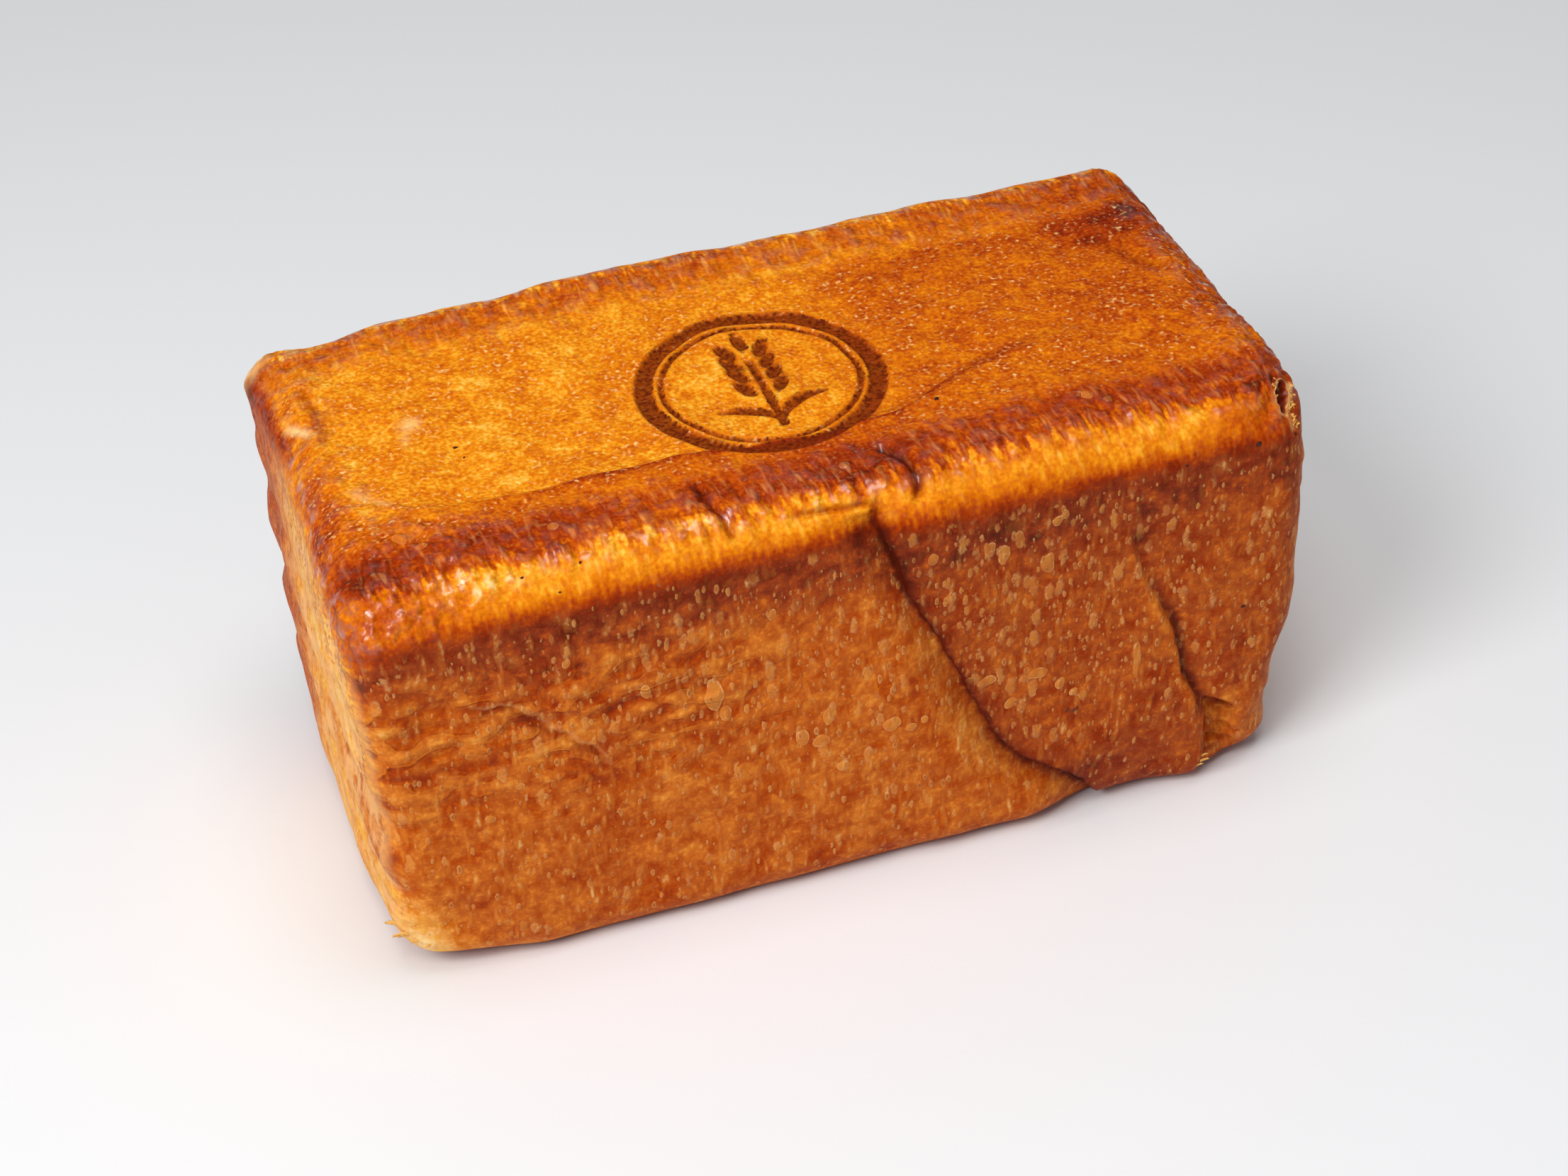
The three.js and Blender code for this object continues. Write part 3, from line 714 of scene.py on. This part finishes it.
def blisterNodes(n, given):  # pale blisters, taller than wide, each of its own strength, some with a dark middle
    times, ramp = n.times, n.ramp
    drift = n.calcPlace("SUBTRACT", given["Drift"], (0.5, 0.5, 0.5))
    moved = n.calcPlace("ADD", given["Place"], n.calcPlace("SCALE", drift, given["Ragged"]))
    cells = n.add("TexVoronoi", {"Vector": n.calcPlace("MULTIPLY", moved, (1, 1, 0.46)),
                                 "Scale": n.over(1, given["Spacing"])}, feature="F1")
    chance = n.add("SeparateColor", {"Color": cells.outputs["Color"]}).outputs
    kept = ramp(n.less(given["Share"], chance[0]), 0, 0.3)
    radius = times(given["Size"], ramp(times(chance[1], chance[1]), 0, 1, 0.42, 1, "LINEAR"))
    inward = n.over(n.less(radius, cells.outputs["Distance"]), radius)
    fill = times(ramp(inward, times(given["Soft"], -0.6), given["Soft"]), kept)
    ringed = times(n.calc("LESS_THAN", chance[2], given["Ringed"]), fill)
    outline = times(ramp(inward, -0.6, -0.15), n.without(ramp(inward, -0.15, 0.15)))
    return {"Fill": fill, "Rim": times(fill, n.without(ramp(inward, 0.1, 0.4))),
            "Middle": times(ringed, ramp(inward, 0.3, 0.6)), "Outline": times(outline, kept),
            "Dome": times(ramp(inward, -0.2, 0.5), kept)}


def mottleNodes(n, given):  # uneven baking, about -1 to 1, and a cloudy colour that makes other patterns drift
    cloud = n.add("TexNoise", {"Vector": given["Place"], "Scale": n.over(1, given["Size"]), "Detail": 3,
                               "Roughness": given["Grain"]}).outputs
    return {"Value": n.ramp(cloud["Fac"], 0.17, 0.83, -1.5, 1.5, "LINEAR"), "Drift": cloud["Color"]}


def streakNodes(n, given):  # streaks that run up the sides and over the shoulders
    parts = n.add("SeparateXYZ", {0: given["Place"]}).outputs
    sign = n.calc("SIGN", parts[1])
    upward = n.less(parts[2], n.times(sign, parts[1]))
    across = n.plus(upward, given["Slant"], parts[0])
    run = n.add("CombineXYZ", {0: n.over(across, given["Width"]),
                               1: n.over(upward, given["Length"]), 2: sign}).outputs[0]
    cloud = n.add("TexNoise", {"Vector": run, "Scale": 1, "Detail": 2, "Roughness": given["Grain"]}).outputs
    return {"Value": n.ramp(cloud["Fac"], 0.17, 0.83, -1.5, 1.5, "LINEAR")}


def pebbleNodes(n, given):  # the fine pebbled skin under a lid
    cells = n.add("TexVoronoi", {"Vector": given["Place"], "Scale": n.over(1, given["Size"])}, feature="F1")
    return {"Height": n.ramp(cells.outputs["Distance"], 0.05, 0.75, 1, 0)}


blisters = newGroup("crustBlisters", {"Place": "Vector", "Drift": "Color", "Spacing": 2, "Share": 0.4, "Size": 0.4,
                                      "Ragged": 0.4, "Soft": 0.3, "Ringed": 0.3}, blisterNodes)
mottle = newGroup("bakedMottle", {"Place": "Vector", "Size": 10, "Grain": 0.5}, mottleNodes)
streaks = newGroup("shoulderStreaks", {"Place": "Vector", "Width": 1, "Length": 8, "Slant": 0, "Grain": 0.6},
                   streakNodes)
pebbles = newGroup("pebbledSkin", {"Place": "Vector", "Size": 1}, pebbleNodes)
print("node groups made")


crustColours = [  # how dark, and its colour on screen
    (0.00, (252, 212, 140)), (0.15, (246, 182, 68)), (0.25, (236, 152, 26)), (0.35, (221, 122, 8)),
    (0.45, (204, 100, 5)), (0.55, (184, 77, 4)), (0.65, (162, 55, 3)), (0.75, (138, 39, 3)), (0.85, (108, 27, 3)),
    (1.00, (74, 18, 3)),
]
veilColours = [  # the same for the dull veil over most of the sides, greyer and paler: a painted sheen
    (0.00, (255, 224, 156)), (0.3, (238, 158, 70)), (0.45, (216, 123, 42)), (0.55, (197, 99, 29)),
    (0.65, (173, 76, 23)), (0.75, (149, 58, 23)), (0.85, (118, 40, 19)), (1.00, (74, 23, 13)),
]
crustFinish = {
    "paleSkin": (255, 214, 140), "warmSkin": (255, 208, 130), "blisterSkin": (220, 140, 56), "rimSkin": (246, 194, 134),
    "shadeSkin": (84, 20, 3), "burntLine": (94, 25, 3), "burntEdge": (140, 47, 5), "ringSkin": (140, 66, 36),
    "endTint": (246, 184, 114), "scuffSkin": (166, 104, 80),
    "rough": 0.5, "shine": 0.05, "coatRough": 0.22, "coatShine": 1.65,
    "streaks": {"Width": 1.45, "Length": 6.5, "Slant": 0.04, "Grain": 0.3},
    "pleats": {"Width": 2.6, "Length": 8, "Slant": 0.04, "Grain": 0.2},
    "dots": {"Spacing": 1.6, "Size": 0.42, "Ragged": 0.7, "Soft": 0.45, "Ringed": 0.4},
    "ovals": {"Spacing": 3, "Size": 0.42, "Ragged": 2.3, "Soft": 0.6, "Ringed": 0},
    # the mottles: size in millimetres, grain, and the stretch of some along x, y and z
    "mottles": {"broad": (14, 0.55), "middling": (4.2, 0.6), "fine": (1.05, 0.35), "sparkle": (1.1, 0.2),
                "wavy": (2, 0.5), "bubbles": (3.2, 0.25),
                "ripple": (4.6, 0.22, (0.5, 0.5, 1)), "fibre": (1.9, 0.3, (1, 1, 0.32))},
}


def crustInputs(n):
    c = crustFinish
    times, plus, ramp, most, without = n.times, n.plus, n.ramp, n.most, n.without
    place = n.millimetres()

    def tone(name):
        return n.add("Attribute", attribute_name=name).outputs["Fac"]
    side, ends, lid, shoulder, gloss = (tone(name) for name in ("side", "ends", "lid", "shoulder", "gloss"))
    rippled, haze, runUp, blister = (tone(name) for name in ("rippled", "haze", "runUp", "blister"))
    mottles = {name: n.group(mottle, Place=n.calcPlace("MULTIPLY", place, *stretch) if stretch else place, Size=size,
                             Grain=grain) for name, (size, grain, *stretch) in c["mottles"].items()}
    broad, middling, fine, sparkle, bubbles, ripple, fibre = (
        mottles[name]["Value"] for name in ("broad", "middling", "fine", "sparkle", "bubbles", "ripple", "fibre"))
    streak, pleats = (n.group(streaks, Place=place, **c[name])["Value"] for name in ("streaks", "pleats"))
    drift = n.calcPlace("SUBTRACT", mottles["middling"]["Drift"], (0.5, 0.5, 0.5))
    pebble = n.group(pebbles, Place=n.calcPlace("ADD", place, n.calcPlace("SCALE", drift, 2.5)), Size=1.3)["Height"]
    crowd = times(side, plus(broad, 0.16, tone("clusters")))
    dots = n.group(blisters, Place=place, Drift=mottles["fine"]["Drift"], Share=plus(crowd, 1.2, 0.14), **c["dots"])
    ovals = n.group(blisters, Place=n.calcPlace("ADD", place, (37, 11, 5)), Drift=mottles["wavy"]["Drift"],
                    Share=plus(crowd, 1, 0.04), **c["ovals"])

    # the profile of the long edges, which the streaks fray
    wander = plus(streak, 4.2, plus(middling, 1.3, times(broad, 1.5)))
    longest = 170
    profile = n.add("FloatCurve", {"Value": n.over(plus(wander, shoulder, runUp), longest)})
    points = profile.mapping.curves[0].points
    steps = [(at / longest, level) for at, level in bakeForm["alongEdge"]]
    points[0].location, points[1].location = steps[0], steps[-1]
    for step in steps[1:-1]:
        points.new(*step)
    profile.mapping.update()
    edgeDark = n.calc("ADD", profile.outputs[0], tone("shift"))
    dark = n.add("Mix", {0: tone("alongEdge"), 2: tone("bake"), 3: edgeDark}).outputs[0]

    # what makes a spot darker or paler
    shadeShare = times(tone("shade"), ramp(plus(streak, 0.5, middling), -1.2, 1, 0.7, 1))
    # painted highlight along the ripples' crests and painted shade just under them; the same pattern also shapes the
    # relief a little
    crest = ramp(n.calc("ABSOLUTE", n.less(ripple, 0.12)), 0, 0.16, 1, 0)
    under = ramp(n.calc("ABSOLUTE", n.calc("ADD", ripple, 0.12)), 0, 0.2, 1, 0)
    wrinkles = times(n.less(under, crest), times(rippled, ramp(middling, -0.8, 0.6)))
    clear = times(times(side, plus(haze, -0.5, 1)), without(shadeShare))
    smear = ramp(plus(middling, 0.5, times(fibre, 0.8)), 0.1, 0.9)
    freckles = ramp(fine, -0.1, 0.9)
    strokes = times(ramp(plus(fine, 0.2, plus(pleats, 0.3, streak)), 0.1, 1.5), ramp(runUp, 111, 123, 0.25, 1))
    # pale specks on the top, which also paint its glints
    specks = ramp(plus(broad, 0.25, plus(middling, 0.4, sparkle)), 0.45, 1.9)
    for where, amount in (
            (broad, 0.07), (middling, plus(side, 0.07, plus(lid, 0.02, 0.09))),
            (fine, plus(lid, 0.02, plus(gloss, 0.01, 0.055))), (streak, times(shoulder, 0.06)),
            (fibre, times(side, 0.03)), (times(ripple, rippled), -0.13), (wrinkles, 0.075),
            # paler pebble tops, and painted shade in the crevices between them
            (ramp(pebble, 0.2, 0.9, 0.5, -0.5), times(most(lid, gloss), 0.045)),
            (times(clear, plus(freckles, 0.4, smear)), -0.11), (times(strokes, shoulder), -0.3),
            (times(specks, lid), -0.1), (shadeShare, 0.3)):
        dark = plus(where, amount, dark)

    # two skins: clear, and dull where the painted sheen lies, in patches and along the sheen band
    bare = plus(times(ripple, rippled), -0.9, n.calc("ADD", times(middling, 0.9), times(broad, 0.35)))
    veil = most(ramp(bare, 0.05, 0.4, 0.88, 0), times(haze, 0.9))
    skin = n.tinted(times(side, veil), n.colourRamp(dark, crustColours),
                    n.colourRamp(n.calc("ADD", dark, 0.09), veilColours))

    # blisters on the sides, small and large
    bigFill = ramp(blister, 0, 0.1)
    fill = most(most(dots["Fill"], ovals["Fill"]), bigFill)
    outline = most(most(dots["Outline"], ovals["Outline"]), times(ramp(blister, -0.25, -0.03), without(bigFill)))
    bigRim = times(bigFill, ramp(plus(middling, 0.6, fine), -0.7, 0.7))
    rim = most(most(dots["Rim"], ovals["Rim"]), times(bigRim, without(ramp(blister, 0.08, 0.24))))
    onSides = times(plus(side, 0.5, 0.5), plus(shadeShare, -0.8, 1))

    # the burnt mark, and the colours laid over the skin one after another
    uneven = plus(ripple, 1.1, plus(broad, 0.5, middling))
    edge = plus(middling, 0.35, plus(fine, 0.3, tone("mark")))
    burnt = times(ramp(plus(broad, 0.4, edge), 0.25, -0.35), ramp(middling, 0.9, 0.1, 0.35, 1))
    for share, name in (
            (times(times(clear, plus(smear, 2, freckles)), 0.1), "blisterSkin"),
            (times(times(clear, ramp(plus(fine, 0.25, fibre), 0.8, 1.7)), 0.6), "warmSkin"),
            (times(ends, ramp(uneven, -1.1, 1.1, 0.85, 0.1)), "endTint"),
            # purplish grey on the left end's edges and on the upper rim of the painted sheen band
            (times(times(haze, without(side)), ramp(plus(fibre, 0.8, fine), -0.2, 0.9, 0, 0.7)), "scuffSkin"),
            # specks on the top: pale crust spots and painted glints
            (times(specks, plus(lid, 0.75, times(gloss, 0.12))), "warmSkin"),
            (times(strokes, times(shoulder, 0.2)), "warmSkin"), (times(times(outline, side), 0.08), "shadeSkin"),
            (times(times(fill, onSides), ramp(plus(fibre, -0.6, middling), -1.2, 1, 0.28, 0.72)), "blisterSkin"),
            # pale blister rims, which also paint the blisters' glints
            (times(rim, times(onSides, ramp(plus(fine, 0.5, middling), -0.8, 1, 0.12, 0.55))), "rimSkin"),
            (times(dots["Middle"], 0.55), "ringSkin"),
            (times(times(tone("pale"), ramp(middling, -1.2, 0.6, 0.35, 1)), 0.85), "paleSkin"),
            (times(shadeShare, 0.9), "shadeSkin"), (times(ramp(edge, 0.7, -0.1), 0.75), "burntEdge"),
            (times(burnt, ramp(fine, -1, 0.9, 1, 0.4)), "burntLine")):
        skin = n.tinted(share, skin, colour(*c[name]))

    # relief, in millimetres
    height = times(pebble, plus(lid, 0.03, 0.03))
    for shape, high in (
            (fine, plus(lid, 0.06, 0.035)), (times(fibre, side), 0.05), (times(bubbles, gloss), 0.36),
            (times(ripple, rippled), 0.5), (wrinkles, -0.11), (pleats, plus(gloss, 0.26, times(shoulder, 0.1))),
            (dots["Dome"], 0.12), (ovals["Dome"], 0.14)):
        height = plus(shape, high, height)
    raised = ramp(plus(pleats, times(shoulder, 0.6), times(bubbles, 0.8)), -0.2, 0.65)
    wet = plus(times(side, fill), 0.06, times(raised, ramp(plus(middling, 0.3, gloss), 0.3, 1)))
    rough = n.calc("MULTIPLY_ADD", burnt, 0.12, plus(fine, 0.06, c["rough"]), clamp=True)
    return {"Base Color": skin, "Roughness": rough, "Normal": n.bump(height), "IOR": 1.45,
            "Specular IOR Level": c["shine"], "Coat Weight": wet, "Coat Roughness": c["coatRough"],
            "Coat IOR": c["coatShine"]}


loafPiece.data.materials.append(newMaterial("bakedCrust", crustInputs))
print("crust finished")


skinTree = BVHTree.FromPolygons([v.co for v in loafPiece.data.vertices], [p.vertices for p in loafPiece.data.polygons])


def onCrust(place, turn):  # the nearest spot on the crust, in millimetres, with two ways along it and the way out
    spot, out, index, gap = skinTree.find_nearest(Vector(place) * metre)
    level = out.cross(Vector((0, 0, 1) if abs(out.z) < 0.8 else (0, 1, 0))).normalized()
    along = (Matrix.Rotation(math.radians(turn), 3, out) @ level).normalized()
    return np.array(spot) / metre, np.array(along), np.array(out.cross(along)), np.array(out)


def joinedPiece(name, parts, material):
    points, faces = [], []
    for partPoints, partFaces in parts:
        faces += [[i + len(points) for i in face] for face in partFaces]
        points += partPoints
    piece = newMesh(name, points, faces)
    piece.data.materials.append(material)
    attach(piece, "root")
    print(name + ":", len(parts), "parts")


flakeForm = {
    "thick": 0.22, "columns": 9, "rows": 5, "seed": 5,
    # where each flake is rooted, its length and width, how far its end lifts, and the way it points in degrees
    "flakes": [
        ((-115.6, -51, 14.8), 3, 2.4, 2, -15), ((-113.8, -53.8, 13.2), 3.8, 2.2, 2.2, -12),
        ((-114.8, -52.6, 11.8), 2, 1.3, 1.4, 10), ((-112.4, -55.8, 12), 2.2, 1.4, 0.9, 20),
        ((-110.2, -57.8, 10.6), 1.8, 1.2, 0.6, 30), ((-116.6, -47.5, 12), 1.8, 1.3, 1.2, 0),
        ((92.6, -61, 6.2), 2.6, 1.6, 0.9, 215), ((91.4, -61, 4.4), 2, 1.3, 0.7, 235),
        ((93.4, -60.6, 9), 1.8, 1, 0.6, 200),
    ],
    # rows of small ones: the line they keep to, how many, and how far they stray
    "small": [
        ([(115.2, -51.2, 112.3), (113.9, -54.6, 111.1), (112.5, -58.2, 109), (113.8, -59.6, 105.6)], 34, 0.55),
        ([(112.4, -50.6, 114.4), (110.3, -52.8, 114), (109.3, -55.4, 112.8), (109.6, -58.2, 110.9)], 20, 0.35),
    ],
    "colour": (246, 190, 96), "underColour": (226, 156, 74),
}


def smallFlakes(chance):  # the rows of small flakes, drawn at random along their lines
    for line, count, stray in flakeForm["small"]:
        for k in range(count):
            step = (k + chance.random()) / count * (len(line) - 1)
            first = min(int(step), len(line) - 2)
            place = [blend(a, b, step - first) + stray * (2 * chance.random() - 1)
                     for a, b in zip(line[first], line[first + 1])]
            yield (place, 0.8 + 0.7 * chance.random(), 0.6 + 0.6 * chance.random(), 0.5 * chance.random(),
                   360 * chance.random())


def flakeParts():
    f = flakeForm
    rows, columns, chance = f["rows"], f["columns"], random.Random(f["seed"])
    n = rows * columns
    rim = [i * rows for i in range(columns)] + [n - rows + j for j in range(1, rows)]
    rim += [i * rows + rows - 1 for i in range(columns - 2, -1, -1)] + [j for j in range(rows - 2, 0, -1)]
    faces = []
    for i in range(columns - 1):
        for a in range(i * rows, i * rows + rows - 1):
            faces += [[a, a + rows, a + rows + 1, a + 1], [a + 1 + n, a + rows + 1 + n, a + rows + n, a + n]]
    faces += [[b, a, a + n, b + n] for a, b in zip(rim, rim[1:] + rim[:1])]
    parts = []
    for place, length, width, lift, turn in f["flakes"] + list(smallFlakes(chance)):
        root, along, across, out = onCrust(place, turn)
        notches = [1 + 0.45 * (chance.random() - 0.5) for _ in range(columns)]
        bow, twist, shift = 0.2 + 0.3 * chance.random(), chance.random() - 0.5, 2 * math.pi * chance.random()
        sheets = []
        for side in (1, -1):
            for i in range(columns):
                u = i / (columns - 1)
                taper = notches[i] * (0.55 + 0.45 * math.sin(math.pi * min(1, 0.25 + 0.75 * u))) * (1 - 0.55 * u ** 4)
                for j in range(rows):
                    w = 2 * j / (rows - 1) - 1
                    ragged = 0.16 * math.sin(5.3 * j + 3.1 * i + shift)
                    high = lift * u ** 1.6 + twist * w * u * 0.5 - bow * w * w * 0.5 - 0.12 * (1 - u)
                    edge = 1 - 0.8 * max(abs(w), abs(2 * u - 1)) ** 6  # thinner towards its edges
                    sheets.append(root + along * (length * u + ragged * u) + across * (w * width / 2 * taper)
                                  + out * (high + side * f["thick"] / 2 * edge))
        parts.append((sheets, faces))
    return parts


def flakeInputs(n):
    place = n.millimetres()
    fine = n.group(mottle, Place=place, Size=0.8, Grain=0.6)["Value"]
    grain = n.group(pebbles, Place=place, Size=0.6)["Height"]
    dark = n.ramp(n.plus(grain, -0.6, fine), -1.2, 0.9)
    return {"Base Color": n.tinted(dark, colour(*flakeForm["colour"]), colour(*flakeForm["underColour"])),
            "Roughness": n.ramp(fine, -1, 1, 0.6, 0.8), "Specular IOR Level": 0.2,
            "Normal": n.bump(n.plus(grain, 0.1, n.times(fine, 0.06)))}


joinedPiece("tornFlakes", flakeParts(), newMaterial("tornCrust", flakeInputs))


speckForm = {
    "seed": 8, "rings": 4, "around": 9,
    # where each burnt speck sits, its length, width and height, and the way it lies in degrees
    "specks": [
        ((33, -30.8, 116), 1.3, 1, 0.45, 0), ((101.9, -62, 106.5), 1.5, 1.1, 0.4, 20),
        ((100.8, -62, 56.9), 1.2, 0.9, 0.35, 0), ((55.8, -64, 38.3), 2.6, 0.8, 0.35, 25),
        ((54, -64, 38.9), 1.3, 0.8, 0.3, 60), ((-78.9, -4.2, 116), 1.3, 0.8, 0.3, 10),
        ((-77.9, -9, 116), 0.8, 0.5, 0.25, 60), ((-76.3, -56.7, 112), 0.9, 0.6, 0.25, 20),
        ((-63.6, -56.1, 112), 0.8, 0.6, 0.25, 40), ((-69.4, -60, 110), 0.7, 0.5, 0.2, 0),
        ((83.4, -63.3, 105.7), 0.8, 0.6, 0.25, 30),
    ],
    "char": (34, 14, 8), "brown": (104, 40, 12), "brownBelow": 42,  # those below this height are only brown
}


def speckParts():
    f = speckForm
    rings, n, chance = f["rings"], f["around"], random.Random(f["seed"])
    faces = []
    for k in range(n):
        faces.append([0, 1 + k, 1 + (k + 1) % n])
        for a, b in ((1 + ring * n + k, 1 + ring * n + (k + 1) % n) for ring in range(rings - 1)):
            faces.append([a, a + n, b + n, b])
    faces.append([1 + (rings - 1) * n + k for k in range(n)][::-1])
    parts = []
    for place, length, width, high, turn in f["specks"]:
        root, along, across, out = onCrust(place, turn)
        knobs = [1 + 0.5 * (chance.random() - 0.5) for _ in range(n)]
        points = [root + out * high]
        for ring in range(1, rings + 1):
            t = ring / rings * math.pi * 0.72
            for k in range(n):
                a = 2 * math.pi * k / n
                reach = math.sin(t) * knobs[k] * (1 + 0.15 * (chance.random() - 0.5))
                points.append(root + along * (length / 2 * reach * math.cos(a))
                              + across * (width / 2 * reach * math.sin(a)) + out * (high * math.cos(t)))
        parts.append((points, faces))
    return parts


def speckInputs(n):
    place = n.millimetres()
    fine = n.group(mottle, Place=place, Size=0.5, Grain=0.6)["Value"]
    high, below = n.add("SeparateXYZ", {"Vector": place}).outputs[2], speckForm["brownBelow"]
    share = n.most(n.ramp(fine, -0.3, 1, 0, 0.6), n.ramp(high, below + 4, below, 0, 0.95))
    return {"Base Color": n.tinted(share, colour(*speckForm["char"]), colour(*speckForm["brown"])),
            "Roughness": n.ramp(fine, -1, 1, 0.35, 0.6), "Specular IOR Level": 0.3,
            "Normal": n.bump(n.times(fine, 0.08))}


joinedPiece("burntSpecks", speckParts(), newMaterial("charredSpeck", speckInputs))


studioForm = {
    "floor": (231, 232, 233), "floorRough": 0.7, "floorHalf": 3000, "floorGap": 0.2,  # millimetres
    "world": (0.86, 0.88, 0.92), "worldStrength": 0.28,
    # name: place, what it looks at, size, power in watts
    "lights": {
        "softLeft": ((-1.02, -0.72, 1.25), (-0.03, -0.15, 0), 0.8, 18.8),
        "softOver": ((0.02, -0.2, 1.45), (0.03, -0.15, 0), 0.7, 6.5),
        "softNear": ((-0.3, -0.7, 1.35), (0, 0, 0.1), 0.4, 4),
    },
}


def buildStudio():
    f = studioForm
    half = f["floorHalf"]
    floor = newMesh("studioFloor", [(-half, -half, 0), (half, -half, 0), (half, half, 0), (-half, half, 0)], [range(4)])
    floor.location.z = -f["floorGap"] * metre
    finish = {"Base Color": colour(*f["floor"]), "Roughness": f["floorRough"]}
    floor.data.materials.append(newMaterial("paleFloor", lambda n: finish))
    world = bpy.data.worlds.new("studio")
    world.use_nodes = True
    sky = world.node_tree.nodes["Background"]
    sky.inputs[0].default_value, sky.inputs[1].default_value = (*f["world"], 1), f["worldStrength"]
    bpy.context.scene.world = world
    for name, (place, target, size, power) in f["lights"].items():
        data = bpy.data.lights.new(name, "AREA")
        data.shape, data.size, data.energy = "DISK", size, power
        light = newObject(name, data)
        light.location = place
        light.rotation_euler = (Vector(target) - Vector(place)).to_track_quat("-Z", "Y").to_euler()
    bpy.context.scene.view_settings.view_transform = "Standard"


buildStudio()
print("studio lit")
